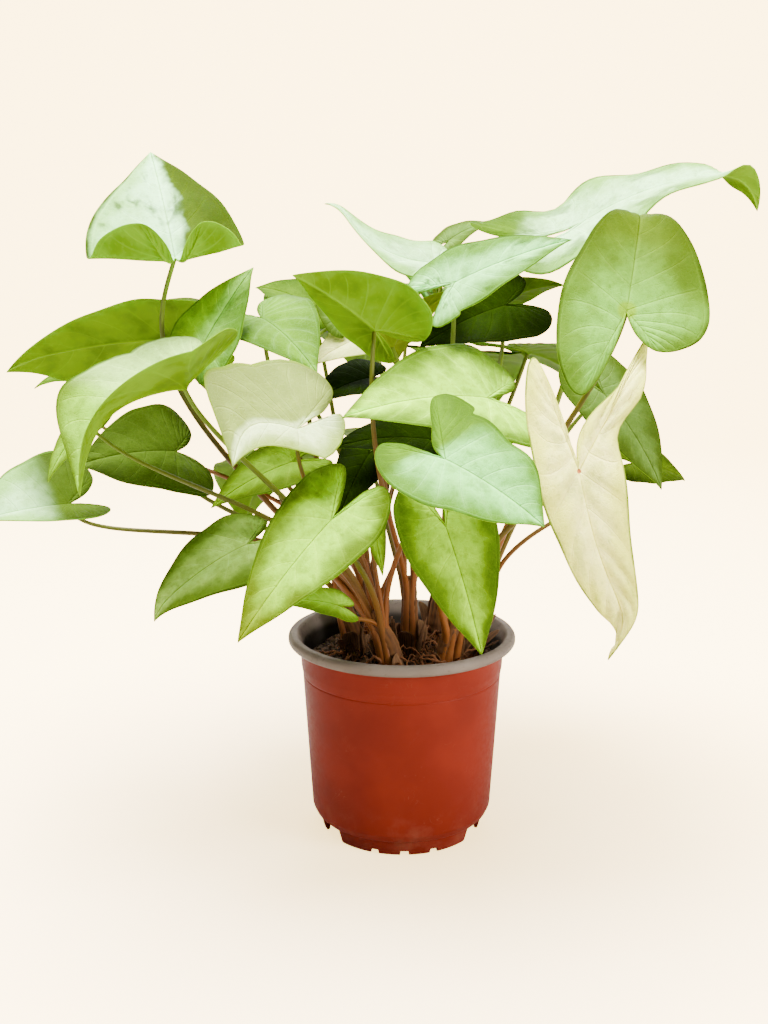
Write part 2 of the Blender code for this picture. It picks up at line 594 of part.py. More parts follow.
def soil_height(x, y):
    """Loose soil: low humps, sinking a little towards the wall."""
    radius = np.hypot(x, y) / 0.051
    humps = 0.0011 * np.sin(190 * x + 1.3) * np.cos(230 * y) + 0.0007 * np.sin(410 * x - 260 * y)
    return SOIL_TOP + humps * smooth((1.05 - radius) / 0.3) - SOIL_SINK * radius**3


def soil(stems):
    inside = [(r / 1000, z / 1000) for r, z in POT_INSIDE_MM[::-1]]
    inside = [(r - FIT * 1.5, z + FIT * 1.5 if i == 0 else z) for i, (r, z) in enumerate(inside)]
    wall = [p for p in inside if p[1] < 0.088]
    top_radius = float(np.interp(0.0915, [p[1] for p in inside], [p[0] for p in inside]))
    profile = [(0.020, wall[0][1])] + wall + [(top_radius, 0.0915)]
    profile += [(top_radius * k, SOIL_TOP) for k in (0.72, 0.36)]
    points, faces = turned(profile, POT_SIDES)
    top = points[:, 2] > SOIL_TOP - 1e-6
    points[top, 2] = soil_height(points[top, 0], points[top, 1])
    body = mesh_object("soil", points, faces, material("soil_peat", (0.030, 0.018, 0.011), 0.95))
    cutters = []
    for stem in stems.values():
        x, y = np.array(stem["foot"]) / 1000
        line = np.linspace((x, y, STEM_FOOT - FIT), (x, y, 0.12), 2)
        hole = mesh_object("hole", *tube(line, [STEM_RADIUS / math.cos(math.pi / 9) + FIT] * 2, 12))
        cutters.append(hole)
    boolean(body, cutters, "DIFFERENCE")
    body.data.shade_smooth()


def main():
    clear_scene()
    leaves = [Leaf(row) for row in LEAVES]
    routes, _ = route_stalks(leaves, STEMS)
    pot()
    soil(STEMS)
    stem_solids(STEMS, leaves, routes)
    for leaf in leaves:
        finish = material("leaf_" + leaf.colour, GREENS[leaf.colour], 0.4)
        mesh_object(leaf.name, *blade_solid(leaf), finish)


if __name__ == "__main__":
    main()
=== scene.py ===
"""Looks of an arrowhead plant in its nursery pot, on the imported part.

The frame's origin is the middle of the pot's foot, +Z is up and the side that shows best faces -Y. Lengths
are in metres unless a name ends in _MM. Leaves, stems, soil and pot are finer pieces in the place and form of
the part's own nodes: the tables and the functions that give those forms are the part's.
"""

import itertools
import math

import bpy
import numpy as np
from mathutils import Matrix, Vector
from mathutils.kdtree import KDTree

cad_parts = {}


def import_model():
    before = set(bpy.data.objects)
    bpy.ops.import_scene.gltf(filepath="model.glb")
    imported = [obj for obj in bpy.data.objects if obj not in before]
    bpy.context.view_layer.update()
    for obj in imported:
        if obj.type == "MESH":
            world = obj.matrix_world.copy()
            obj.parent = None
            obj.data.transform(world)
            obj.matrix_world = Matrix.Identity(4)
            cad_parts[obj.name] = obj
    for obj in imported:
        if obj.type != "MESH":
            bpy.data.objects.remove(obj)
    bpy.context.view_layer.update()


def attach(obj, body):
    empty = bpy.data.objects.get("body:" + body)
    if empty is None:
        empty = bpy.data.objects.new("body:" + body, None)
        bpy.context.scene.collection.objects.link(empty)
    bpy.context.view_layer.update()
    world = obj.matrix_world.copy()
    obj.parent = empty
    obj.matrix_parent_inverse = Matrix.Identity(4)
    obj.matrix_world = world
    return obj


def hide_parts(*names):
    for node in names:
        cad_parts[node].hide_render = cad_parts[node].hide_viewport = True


# Pot
POT_HEIGHT = 0.1075
POT_SIDES = 192
POT_OUTSIDE_MM = [
    (12.0, 0.0), (13.5, 8.4), (40.2, 8.4), (40.9, 0.0), (42.6, 0.0), (44.6, 8.6), (46.4, 9.0), (48.1, 12.6),
    (52.5, 85.4), (52.2, 85.9), (52.6, 86.5), (53.3, 90.5), (53.8, 102.2), (58.6, 102.0), (60.0, 103.6),
    (60.0, 106.0), (58.8, 107.5), (55.6, 107.5),
]
POT_INSIDE_MM = [(54.5, 106.2), (52.2, 101.0), (51.1, 86.0), (46.7, 15.0), (45.2, 9.9)]
CORNER_CUT = 0.0007
FOOT_TURN = math.radians(1.5)
FOOT_GAP = math.radians(24)
NOTCH_WIDTH = math.radians(7.5)
NOTCH_STEP = math.radians(21)
NOTCH_HEIGHT = 0.0025
DRAIN_HOLES = 6
DRAIN_RING = 0.027
DRAIN_RADIUS = 0.0035
CUT_INSIDE, CUT_OUTSIDE = 0.0385, 0.052
FOOT_GAP_HEIGHT = 0.0072
# Inside the line from the first radius and height to the second, the wall is grey; so is all over RIM_FROM.
WALL_LOW, WALL_HIGH = (0.0462, 0.0085), (0.0531, 0.1022)
POT_FLOOR = 0.0092
RIM_FROM = 0.1018

# Soil
SOIL_TOP = 0.0955
SOIL_SINK = 0.004
SOIL_RADIUS = 0.0506
FIT = 0.0003
SOIL_WALL = [(0.0499, 0.080), (0.0466, 0.0165), (0.0448, 0.0106)]
SOIL_SIDES = 160
SOIL_RINGS = 60
SOIL_WAVES = [(900, 400, 1), (-700, 1100, 2), (1500, -600, 3), (300, 1700, 4), (2100, 1300, 5), (-1900, 1600, 6)]
CRUMBS, CRUMB_SIZES = 1100, (0.0004, 0.0015)
CHIPS, CHIP_SIZES = 170, (0.0006, 0.0030)
ROOTS = 90
HUSKS = 34
HUSK_HALF = 0.00016

# Stems
STEM_RADIUS = 0.0050
STEM_TOP_RADIUS = 0.0034
STEM_FOOT = 0.070
STALK_TIP_RADIUS = 0.0014
STALK_POINTS = 40
STALK_RINGS = [0, 5, 11, 18, 25, 32, 39]
BOW_SIZES = (0.006, 0.012, 0.018, 0.025, 0.033, 0.042, 0.052, 0.064)
BOW_TURNS = 12
BLADE_CLEAR = 0.0044
STALK_CLEAR = 0.0048
STEM_CLEAR = STEM_RADIUS + 0.0032
RIM_CLEAR = 0.048
OWN_JOINT = 0.010
FINE_STALK_POINTS = 70
FINE_STALK_SIDES = 14
SHEATH_SPREAD = 0.0042
SHEATH_OFF = 0.0024
STEMS = {
    "a": dict(foot=(-5, -27), top=(-16, -27, 126)),
    "b": dict(foot=(22, -24), top=(30, -26, 128)),
    "c": dict(foot=(-24, -5), top=(-34, -6, 130)),
    "d": dict(foot=(35, -2), top=(45, -2, 132)),
    "e": dict(foot=(4, -4), top=(4, -6, 138)),
    "f": dict(foot=(-14, 22), top=(-20, 27, 134)),
    "g": dict(foot=(19, 21), top=(25, 27, 136)),
}

# Leaf blades
CAD_THICKNESS = 0.0008
BLADE_THICKNESS = 0.00055
EDGE_THICKNESS = 0.00032
BLADE_ALONG = 72
SMALL_LEAF = 0.05
ACROSS_AT = np.array([0, 0.025, 0.06, 0.12, 0.19, 0.27, 0.36, 0.45, 0.54, 0.63, 0.72, 0.80, 0.87, 0.93, 0.97, 1.0])
VEINS = 18
VEIN_SWEEP = 0.9
QUILT_MM = {4: 0.75, 12: 0.75, 13: 0.75, 17: 1.70}
USUAL_QUILT_MM = 0.55
UNEVEN = 0.0005
GROOVE = 0.00022
KEEL, JOINT_SWELL = 0.0008, 0.0011
PATTERN_SIZE = 0.09
SWEEP = 0.55
SINUS = 0.08
LOBE_VEIN = 0.75
HALF_OUTLINE = np.array([
    (-0.015, 0.000), (-0.110, 0.022), (-0.250, 0.072), (-0.360, 0.145), (-0.400, 0.215), (-0.355, 0.315),
    (-0.220, 0.415), (0.000, 0.450), (0.220, 0.415), (0.450, 0.325), (0.680, 0.205), (0.870, 0.080), (1.000, 0.000),
])
OUTLINE_LOBE = 0.40
OUTLINE_WIDTH = 0.45

LEAVES = [
    (1, "a", "mint", (-108, -30, 301), (-128, 25, 353), (0.1, -0.6, 0.8),
     dict(width=(0.52, 0.42), lobes=0.33, spread=(-8, -5), taper=(0.2, 0.05), fold=8, curl=0, droop=20,
          dip=-115, dip_at=0.5)),
    (2, "a", "lime", (-124, 26, 259), (-207, 20, 242), (-0.1, 0.8, 0.55),
     dict(width=(0.3, 0.3), taper=(0, -0.8), fold=10, droop=25, hook=25)),
    (3, "f", "olive", (-106, 42, 271), (-139, 54, 275), (0, -0.3, 1), dict(width=0.38)),
    (4, "a", "lime", (-101, -60, 243), (-146, -80, 196), (-0.1, -0.9, 0.42),
     dict(width=(0.5, 0.55), taper=(0, -0.8), fold=(75, -10), curl=(10, -15), sway=-0.2)),
    (5, "a", "mint", (-96, -28, 260), (-73, -12, 296), (-0.3, -0.8, 0.5), dict(droop=15)),
    (6, "c", "mint", (-70, -5, 271), (-41, -40, 247), (0, -0.5, 0.85), dict(width=0.5)),
    (7, "f", "green", (-47, 28, 276), (-78, 42, 285), (0, -0.5, 0.85), dict(width=0.5)),
    (8, "f", "sage", (-32, 8, 271), (-46, 18, 287), (0, -0.8, 0.5), dict(width=0.4)),
    (9, "e", "lime", (-14, -42, 268), (-50, -66, 293), (0.1, 0.75, 0.65),
     dict(width=(0.56, 0.3), fold=(20, 10), droop=20)),
    (10, "e", "beige", (-6, -6, 258), (28, -7, 286), (-0.4, 0.7, 0.6), dict(width=0.28, lobes=0.15)),
    (11, "f", "cream", (-16, 12, 262), (-46, 0, 247), (0, -0.6, 0.8), dict(width=0.45)),
    (12, "c", "cream", (-48, -78, 226), (-74, -102, 213), (-0.1, -0.95, 0.3),
     dict(width=(0.5, 0.95), lobes=(0.72, 0.85), spread=(-14, -10), taper=(0, -0.7), droop=20, sway=-0.3)),
    (13, "b", "pale", (39, -45, 236), (-28, -78, 231), (-0.1, -0.7, 0.7), dict(width=0.45, lobes=0.36)),
    (14, "a", "mint", (17, -100, 216), (58, -116, 190), (0.1, -0.8, 0.6),
     dict(width=0.5, lobes=(0.65, 0.55), spread=(28, -10), taper=(-0.5, -0.2))),
    (15, "a", "bright", (-33, -85, 186), (-73, -110, 137), (-0.1, -0.85, 0.5),
     dict(width=0.33, lobes=0.42, spread=(-8, 8))),
    (16, "b", "bright", (18, -90, 184), (34, -100, 128), (0.1, -0.9, 0.4), dict(width=0.37)),
    (17, "b", "cream", (76, -90, 209), (91, -95, 124), (0, -0.9, 0.35),
     dict(width=(0.22, 0.22), lobes=(0.85, 0.62), spread=(34, 0), taper=(0, -0.3), slim=(0.25, 0),
          roll=100, roll_at=0.66, roll_by=0.3, sway=0.1, sway_at=3.0)),
    (18, "d", "sage", (100, -60, 277), (113, -10, 317), (0, -0.75, 0.65),
     dict(width=(0.42, 0.5), lobes=(0.58, 0.24), taper=(-0.15, -0.1), droop=30, hook=60, hook_at=0.6)),
    (19, "d", "mint", (94, 28, 319), (183, 28, 324), (0, -0.4, 0.9),
     dict(width=(0.24, 0.33), lobes=(0.6, 0.5), fold=(25, 5), droop=45, hook=60, hook_at=0.6, dip=-55,
          twist=-25, roll=-60, roll_at=0.65, wave=0.03)),
    (20, "g", "mint", (25, -20, 289), (80, -22, 309), (0, -0.7, 0.7),
     dict(width=0.33, spread=(0, 27), droop=20)),
    (21, "e", "white", (15, 24, 298), (-39, 9, 327), (0, -0.5, 0.85),
     dict(width=(0.33, 0.3), lobes=0.24, taper=0.2, droop=-20, hook=60, hook_at=0.8, sway=0.2)),
    (22, "e", "mint", (11, 38, 286), (-6, 32, 298), (0, -0.6, 0.8), dict(width=0.4)),
    (23, "g", "sage", (26, 52, 310), (48, 56, 319), (0, -0.5, 0.85), dict(width=0.4)),
    (24, "g", "dark", (54, 31, 276), (9, 18, 255), (0, -0.75, 0.65), dict(width=0.5)),
    (25, "g", "olive", (58, 68, 278), (89, 54, 286), (0, 0.5, 0.85), dict(width=0.45)),
    (26, "d", "sage", (97, -30, 236), (127, -30, 189), (0.2, -0.8, 0.5), dict(width=0.33)),
    (27, "d", "olive", (118, -10, 199), (146, 0, 188), (0, -0.5, 0.85), dict(width=0.55)),
    (28, "a", "sage", (-115, -10, 205), (-158, -35, 202), (0, -0.7, 0.7),
     dict(width=(0.65, 0.6), lobes=0.28, taper=(-0.3, 0))),
    (29, "a", "white", (-168, -20, 180), (-210, -35, 174), (0, -0.9, 0.5),
     dict(width=(0.4, 0.75), taper=(0, -0.3), fold=(50, -5))),
    (30, "a", "lime", (-149, -48, 224), (-168, -52, 197), (-0.3, -0.6, 0.7), dict(width=0.3)),
    (31, "f", "green", (-176, 58, 237), (-203, 54, 230), (0, -0.3, 0.9), dict(width=0.35)),
    (32, "c", "sage", (-76, -40, 164), (-119, -60, 131), (-0.35, -0.6, 0.7),
     dict(width=(0.5, 0.42), lobes=0.3, fold=(12, 10), hook=25)),
    (33, "a", "lime", (-32, -50, 136), (-66, -62, 141), (0, -0.5, 0.85), dict(width=0.28, lobes=0.3)),
    (34, "a", "bright", (-15, -50, 179), (-10, -55, 152), (0.1, -0.9, 0.4), dict(width=0.2)),
    (35, "e", "dark", (-17, -20, 205), (-32, -40, 175), (-0.2, -0.8, 0.5), dict(width=0.35)),
    (36, "c", "bright", (-55, -25, 202), (-94, -35, 181), (0, -0.65, 0.75), dict(width=0.35)),
    (37, "e", "dark", (14, -25, 213), (-36, -35, 210), (0, -0.5, 0.85), dict(width=0.35)),
    (38, "e", "dark", (-16, 12, 240), (-46, -5, 228), (0, -0.5, 0.85), dict(width=0.45)),
    (39, "b", "mint", (45, -45, 221), (66, -50, 211), (0, -0.5, 0.85), dict(width=0.4)),
    (40, "f", "green", (-55, 75, 225), (-105, 125, 190), (-0.3, 0.35, 0.9), dict()),
    (41, "f", "green", (-15, 85, 255), (-25, 160, 225), (0, 0.45, 0.9), dict()),
    (42, "g", "green", (35, 80, 245), (60, 150, 205), (0.2, 0.4, 0.9), dict()),
    (43, "g", "green", (70, 55, 250), (120, 95, 215), (0.3, 0.3, 0.9), dict()),
    (44, "f", "green", (-70, 50, 190), (-95, 105, 140), (-0.3, 0.5, 0.8), dict()),
    (45, "f", "green", (0, 75, 200), (10, 140, 155), (0, 0.55, 0.8), dict()),
    (46, "g", "green", (60, 60, 185), (95, 110, 145), (0.3, 0.5, 0.8), dict()),
    (47, "g", "green", (22, 78, 283), (40, 138, 262), (0.1, 0.3, 0.95), dict()),
    (48, "f", "green", (-45, 72, 280), (-80, 122, 265), (-0.2, 0.3, 0.95), dict()),
]
LEAF_FORM = dict(
    width=0.42, lobes=0.4, spread=0, taper=0, slim=0, fold=14, curl=-18, droop=35, hook=0, hook_at=0.72,
    dip=10, dip_at=1.0, twist=0, roll=0, roll_at=0.8, roll_by=0.2, sway=0, sway_at=1.0, wave=0.012, waves=2.2,
    phase=0.0,
)

# Colours
STALK_FOOT, STALK_LOW, STALK_MIDDLE = (0.18, 0.060, 0.014), (0.12, 0.055, 0.010), (0.075, 0.085, 0.006)
STALK_TOP, STALK_STREAK = (0.13, 0.21, 0.012), (0.05, 0.022, 0.006)
CROWN_BARK = (0.15, 0.060, 0.018), (0.05, 0.022, 0.009)
ROOT_SKIN = (0.20, 0.075, 0.026), (0.07, 0.028, 0.011)
HUSK_PAPER = (0.16, 0.078, 0.032), (0.06, 0.026, 0.011)
PEAT = (0.045, 0.029, 0.017), (0.095, 0.056, 0.030)
CRUMB = (0.032, 0.018, 0.010), (0.10, 0.055, 0.028)
CHIP = (0.065, 0.034, 0.017), (0.16, 0.085, 0.04)
POT_RED, POT_RED_DEEP, POT_WORN = (0.158, 0.0145, 0.0060), (0.130, 0.0115, 0.0048), (0.19, 0.050, 0.028)
RIM_GREY, RIM_GREY_PALE = (0.145, 0.117, 0.096), (0.185, 0.152, 0.128)
# The second colour on the next line is painted shade, which the grey inside wall takes on below the rim.
RIM_STAIN, WALL_PAINTED_SHADE = (0.055, 0.043, 0.035), (0.03, 0.025, 0.02)

# Stage. A light is its name, place, the point it looks at, size, power and colour.
BACKDROP_AT, BACKDROP_BOW, BACKDROP_TOP = 1.3, 0.5, 4.0
FLOOR_FRONT, FLOOR_HALF = -3.0, 4.0
FLOOR_COLOUR, FLOOR_CLOUD = (0.60, 0.54, 0.46), (0.59, 0.53, 0.45)
# The floor glows for the camera only. The glow is weakest near the pot and strongest further out: the weaker glow round
# the pot's foot is a painted shadow.
GLOW_COLOUR = (1.0, 0.70, 0.27)
PAINTED_SHADOW_INNER, PAINTED_SHADOW_OUTER = 0.06, 0.36
GLOW_IN_PAINTED_SHADOW, GLOW_MOST = 3.4, 9.0
SKY_COLOUR = (1.0, 0.97, 0.93, 1)
SKY_STRENGTH = 0.38
LIGHTS = [
    ("top", (-0.30, -0.10, 1.38), (0.0, 0.0, 0.18), 0.8, 115.0, (1.0, 0.98, 0.95)),
    ("right", (1.05, -0.65, 0.55), (0.0, 0.0, 0.15), 0.5, 30.0, (1.0, 0.96, 0.9)),
    ("back", (0.1, 0.9, 0.9), (0.0, 0.0, 0.22), 0.7, 14.0, (1.0, 1.0, 1.0)),
]
CAMERA_PLACE = (-0.0094, -0.600, 0.300)
CAMERA_DOWN = 0.211
CAMERA_LENS = 41.55
CAMERA_SENSOR = 36.0


# Shapes that the part has too


def smooth(t):
    """0 to 1 with a soft start and a soft end."""
    t = np.clip(t, 0, 1)
    return t * t * (3 - 2 * t)


def unit(v):
    """One vector at length 1."""
    v = np.asarray(v, float)
    return v / np.linalg.norm(v)


def units(v):
    """Many vectors, each at length 1."""
    return v / np.maximum(np.linalg.norm(v, axis=-1, keepdims=True), 1e-12)


def through(values, count):
    """A smooth line through the given points, read at evenly spaced steps."""
    p = np.vstack([2 * values[0] - values[1], values, 2 * values[-1] - values[-2]])
    t = np.linspace(0, len(values) - 1, count)
    i = np.minimum(t.astype(int), len(values) - 2)
    f = (t - i)[:, None]
    a, b, c, d = p[i], p[i + 1], p[i + 2], p[i + 3]
    return 0.5 * (2 * b + (c - a) * f + (2 * a - 5 * b + 4 * c - d) * f**2 + (3 * b - a - 3 * c + d) * f**3)


def bezier(p0, p1, p2, p3, count):
    """Points of the cubic curve that leaves p0 towards p1 and arrives at p3 from p2."""
    t = np.linspace(0, 1, count)[:, None]
    return (1 - t) ** 3 * p0 + 3 * (1 - t) ** 2 * t * p1 + 3 * (1 - t) * t**2 * p2 + t**3 * p3


def half_blade(along, across, form, side):
    """Grid of one flat half, with rows that follow the side veins out to the margin.

    Each row is a straight line from a point on the midrib, or for the lobe on the lobe's own vein, to a point
    of the outline; across holds the shares of that line at which it is read.
    """
    width, lobe, spread, taper, slim = (form[key][side] for key in ("width", "lobes", "spread", "taper", "slim"))
    o = through(HALF_OUTLINE, along + 1)
    t = np.linspace(0, 1, along + 1)
    rib = o[:, 0] - SWEEP * np.maximum(o[:, 1], 0) * sum(form["width"]) / 2 / OUTLINE_WIDTH
    rib = np.where(t > 2 / 3, np.clip(rib - max(rib[2 * along // 3], 0) * 3 * (1 - t), 0, 1), 0)
    back = smooth(-o[:, 0] / OUTLINE_LOBE / 0.6)
    narrow = (1 - taper * smooth((o[:, 0] - 0.3) / 0.45)) * (1 - slim * back)
    o[:, 1] = np.maximum(o[:, 1], 0) * width / OUTLINE_WIDTH * narrow
    o[:, 0] = np.where(o[:, 0] < 0, o[:, 0] * lobe / OUTLINE_LOBE, o[:, 0])
    turn = -np.radians(spread) * back
    o = np.stack([o[:, 0] * np.cos(turn) - o[:, 1] * np.sin(turn), o[:, 0] * np.sin(turn) + o[:, 1] * np.cos(turn)], 1)
    away = np.maximum(np.arctan2(o[:, 1], -o[:, 0]), SINUS * smooth(12 * t))
    reach = np.hypot(o[:, 0], o[:, 1])
    o = np.stack([-reach * np.cos(away), reach * np.sin(away)], 1)
    o[0], o[-1] = HALF_OUTLINE[0], HALF_OUTLINE[-1]
    share = np.clip(1 - np.abs(3 * np.arange(along + 1) - along) / along, 0, 1)
    lobe_vein = LOBE_VEIN * share[:, None] * o[along // 3]
    inner = np.stack([rib, 0 * rib], 1) + lobe_vein
    v = np.asarray(across)[None, :, None]
    return inner[:, None] + v * (o - inner)[:, None]


def bend(flat, form):
    """Bends flat points (leaf lengths) into the leaf's own shape, with the joint at the origin.

    The midrib's slope falls evenly with droop, more where hook sets in and by dip behind the joint. Across it,
    each half is an arc that starts at the fold angle, plus a wave along the margin, turned by twist and roll.
    """
    rad = np.radians
    x, y = flat[:, 0], flat[:, 1]
    lobe = max(form["lobes"])
    s = np.linspace(-1.2 * lobe, 1.0, 400)
    hook_at = form["hook_at"]
    forward = rad(form["droop"]) * s + rad(form["hook"]) * smooth((s - hook_at) / (1 - hook_at))
    pitch = np.where(s >= 0, forward, -rad(form["dip"]) * np.minimum(-s / (lobe * form["dip_at"]), 1.0))
    step = s[1] - s[0]
    rib_x = np.concatenate([[0], np.cumsum((np.cos(pitch[1:]) + np.cos(pitch[:-1])) / 2)]) * step
    rib_z = -np.concatenate([[0], np.cumsum((np.sin(pitch[1:]) + np.sin(pitch[:-1])) / 2)]) * step
    rib_x -= np.interp(0, s, rib_x)
    rib_z -= np.interp(0, s, rib_z)
    at_x, at_z, at_pitch = np.interp(x, s, rib_x), np.interp(x, s, rib_z), np.interp(x, s, pitch)
    left = y >= 0
    out = np.abs(y)
    width = np.where(left, form["width"][0], form["width"][1])
    fold = np.where(left, rad(form["fold"][0]), rad(form["fold"][1]))
    curl = np.where(left, rad(form["curl"][0]), rad(form["curl"][1])) / width
    curl = np.where(np.abs(curl) < 1e-4, 1e-4, curl)
    across = (np.sin(fold + curl * out) - np.sin(fold)) / curl
    lift = (np.cos(fold) - np.cos(fold + curl * out)) / curl
    beat = form["waves"] * x + form["phase"] + np.where(left, 0, 0.37)
    lift = lift + form["wave"] * np.sin(2 * np.pi * beat) * (out / width) ** 2
    across = np.where(left, across, -across)
    end_turn = rad(form["roll"]) * smooth((x - form["roll_at"]) / form["roll_by"])
    for turn in (rad(form["twist"]) * np.clip(x, 0, 1), end_turn):
        across, lift = across * np.cos(turn) - lift * np.sin(turn), across * np.sin(turn) + lift * np.cos(turn)
    across = across + form["sway"] * np.sin(np.pi * np.clip(x, 0, 1) ** form["sway_at"])
    return np.stack([at_x + lift * np.sin(at_pitch), across, at_z + lift * np.cos(at_pitch)], 1)


def axes_of(chord, face):
    """Axes with the first along the chord and the third as near to face as that allows."""
    a = unit(chord)
    face = np.asarray(face, float)
    c = unit(face - a * (face @ a))
    return np.stack([a, np.cross(c, a), c], 1)


def leaf_form(given):
    """A leaf's form: the usual values with its own over them, those that a half may differ in as pairs."""
    form = dict(LEAF_FORM)
    form.update(given)
    for key in ("width", "lobes", "spread", "taper", "slim", "fold", "curl"):
        if not isinstance(form[key], tuple):
            form[key] = (form[key], form[key])
    return form


class Leaf:
    """A leaf's place and form: its joint, its tip, its length and the turn from its own axes to the plant's."""

    def __init__(self, row):
        self.number, self.stem, self.colour, base, tip, face, given = row
        self.name = f"leaf_{self.number:02d}"
        self.form = leaf_form(given)
        self.joint = np.array(base) / 1000
        self.tip = np.array(tip) / 1000
        end = bend(np.array([[1.0, 0.0]]), self.form)[0]
        chord = self.tip - self.joint
        self.length = np.linalg.norm(chord) / np.linalg.norm(end)
        self.turn = axes_of(chord, face) @ axes_of(end, (0, 0, 1)).T

    def place(self, flat):
        return self.joint + bend(flat, self.form) * self.length @ self.turn.T

    def normal(self):
        return self.turn @ np.array([0, 0, 1.0])

    def forward(self):
        return self.turn @ np.array([1.0, 0, 0])


def stem_path(stem):
    """Middle line of a short stem: straight down in the soil, then leaning to its top."""
    foot_x, foot_y = np.array(stem["foot"]) / 1000
    top = np.array(stem["top"]) / 1000
    low = np.array([foot_x, foot_y, STEM_FOOT])
    neck = np.array([foot_x, foot_y, SOIL_TOP + 0.004])
    rise = bezier(neck, neck + (0, 0, 0.012), top - (top - neck) * 0.3, top, 5)
    return np.vstack([low, rise])


def stalk_ends(leaf, path, share):
    """Where a stalk leaves its stem, where it ends under the blade, and the way that it arrives."""
    start = path[-4] * (1 - share) + path[-1] * share
    under = -leaf.normal()
    arrive = unit(-0.75 * under + 0.35 * leaf.forward() + np.array([0, 0, 0.35]))
    slope = max(arrive @ -under, 0.3)
    gap = (CAD_THICKNESS / 2 + FIT * 2 + STALK_TIP_RADIUS * math.sqrt(1 - slope**2)) / slope
    return start, leaf.joint - arrive * gap, arrive


def stalk_path(start, end, arrive, bow):
    """A leaf stalk: it rises from its stem, bows by the given offset and arrives under the blade."""
    reach = np.linalg.norm(end - start)
    out = end - start
    out[2] = 0
    lean = unit(np.array([0, 0, 1.0]) + 0.35 * out / max(np.linalg.norm(out), 1e-6))
    first = start + lean * reach * 0.42 + bow
    second = end - arrive * reach * 0.30 + bow
    return bezier(start, first, second, end, STALK_POINTS)


def bows():
    """Offsets to try in turn, from none to the widest, in twelve directions."""
    yield np.zeros(3)
    for size in BOW_SIZES:
        for k in range(BOW_TURNS):
            angle = k * 2 * math.pi / BOW_TURNS
            yield np.array([math.cos(angle), math.sin(angle), 0.15 * math.sin(2 * angle)]) * size


def blade_spots(leaves):
    """Points all over the blades, each with its leaf's number, and a tree to find them by place."""
    spots = []
    for leaf in leaves:
        flat = np.concatenate([half_blade(48, np.linspace(0, 1, 11), leaf.form, side) * [1, 1 - 2 * side]
                               for side in (0, 1)]).reshape(-1, 2)
        flat = flat[np.unique(np.round(flat, 6), axis=0, return_index=True)[1]]
        spots += [(point, leaf.number) for point in leaf.place(flat)]
    tree = KDTree(len(spots))
    for i, (point, _) in enumerate(spots):
        tree.insert(Vector(point), i)
    tree.balance()
    return spots, tree


def room_of(line, straight, leaf, spots, tree, laid, stems):
    """How much room a stalk has: its least distance to blades, other stems' stalks and stems, each as a share of
    the distance that it should keep, or little where it leans over the rim."""
    room = 1.0
    for point in straight[5:]:
        near_joint = np.linalg.norm(point - leaf.joint)
        for _, i, distance in tree.find_range(Vector(point), BLADE_CLEAR * 1.6):
            if spots[i][1] != leaf.number or near_joint >= OWN_JOINT:
                room = min(room, distance / BLADE_CLEAR)
    for stem, other in laid:
        if stem != leaf.stem:
            room = min(room, nearest(straight, other) / STALK_CLEAR)
    for key, other in stems.items():
        if key != leaf.stem:
            room = min(room, nearest(line, stem_path(other)) / STEM_CLEAR)
    over_rim = line[line[:, 2] < POT_HEIGHT + 0.004]
    if len(over_rim) and np.hypot(over_rim[:, 0], over_rim[:, 1]).max() > RIM_CLEAR:
        room = min(room, 0.1)
    return room


def nearest(line, other):
    """Least distance between the points of two lines."""
    return np.sqrt(((line[:, None] - other[None]) ** 2).sum(2)).min()


def route_stalks(leaves, stems):
    """Chooses each stalk's bow: the smallest that keeps it clear of all blades and of other stems' stalks."""
    spots, tree = blade_spots(leaves)
    laid = []
    routes = {}
    order = sorted(leaves, key=lambda leaf: np.linalg.norm(leaf.joint[:2]))
    counts = {key: sum(leaf.stem == key for leaf in leaves) for key in stems}
    seen = {key: 0 for key in stems}
    for leaf in order:
        share = 0.25 + 0.65 * seen[leaf.stem] / max(counts[leaf.stem] - 1, 1)
        seen[leaf.stem] += 1
        ends = stalk_ends(leaf, stem_path(stems[leaf.stem]), share)
        best = None
        for bow in bows():
            line = stalk_path(*ends, bow)
            knots = line[STALK_RINGS]
            steps = np.linspace(0, len(knots) - 1, 5 * len(knots) - 4)
            straight = np.stack([np.interp(steps, np.arange(len(knots)), knots[:, k]) for k in range(3)], 1)
            room = room_of(line, straight, leaf, spots, tree, laid, stems)
            if best is None or room > best[0]:
                best = (room, line, straight)
            if room >= 1.0:
                break
        laid.append((leaf.stem, best[2]))
        routes[leaf.number] = best[1]
    return routes


# Meshes


def linked(name, points, faces):
    """A plain mesh object in the scene."""
    mesh = bpy.data.meshes.new(name)
    mesh.from_pydata(points, [], faces)
    made = bpy.data.objects.new(name, mesh)
    bpy.context.scene.collection.objects.link(made)
    return made


def new_piece(name, points, faces, materials, node=None, corners=None, face_material=None):
    """A smooth piece on the root body. corners holds named UV layers, one pair of numbers per face corner."""
    made = linked(name, points, faces)
    mesh = made.data
    for layer, values in (corners or {}).items():
        mesh.uv_layers.new(name=layer).data.foreach_set("uv", np.asarray(values, np.float32).ravel())
    for finish in materials:
        mesh.materials.append(finish)
    if face_material is not None:
        mesh.polygons.foreach_set("material_index", np.asarray(face_material, np.int32))
    mesh.shade_smooth()
    mesh.update()
    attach(made, "root")
    if node:
        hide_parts(node)
    return made


def point_normals(points, tri):
    """The way that the surface faces at each point: the sum of its triangles' normals, weighed by their areas."""
    face = np.cross(points[tri[:, 1]] - points[tri[:, 0]], points[tri[:, 2]] - points[tri[:, 0]])
    total = np.zeros_like(points)
    for k in range(3):
        np.add.at(total, tri[:, k], face)
    return units(total)


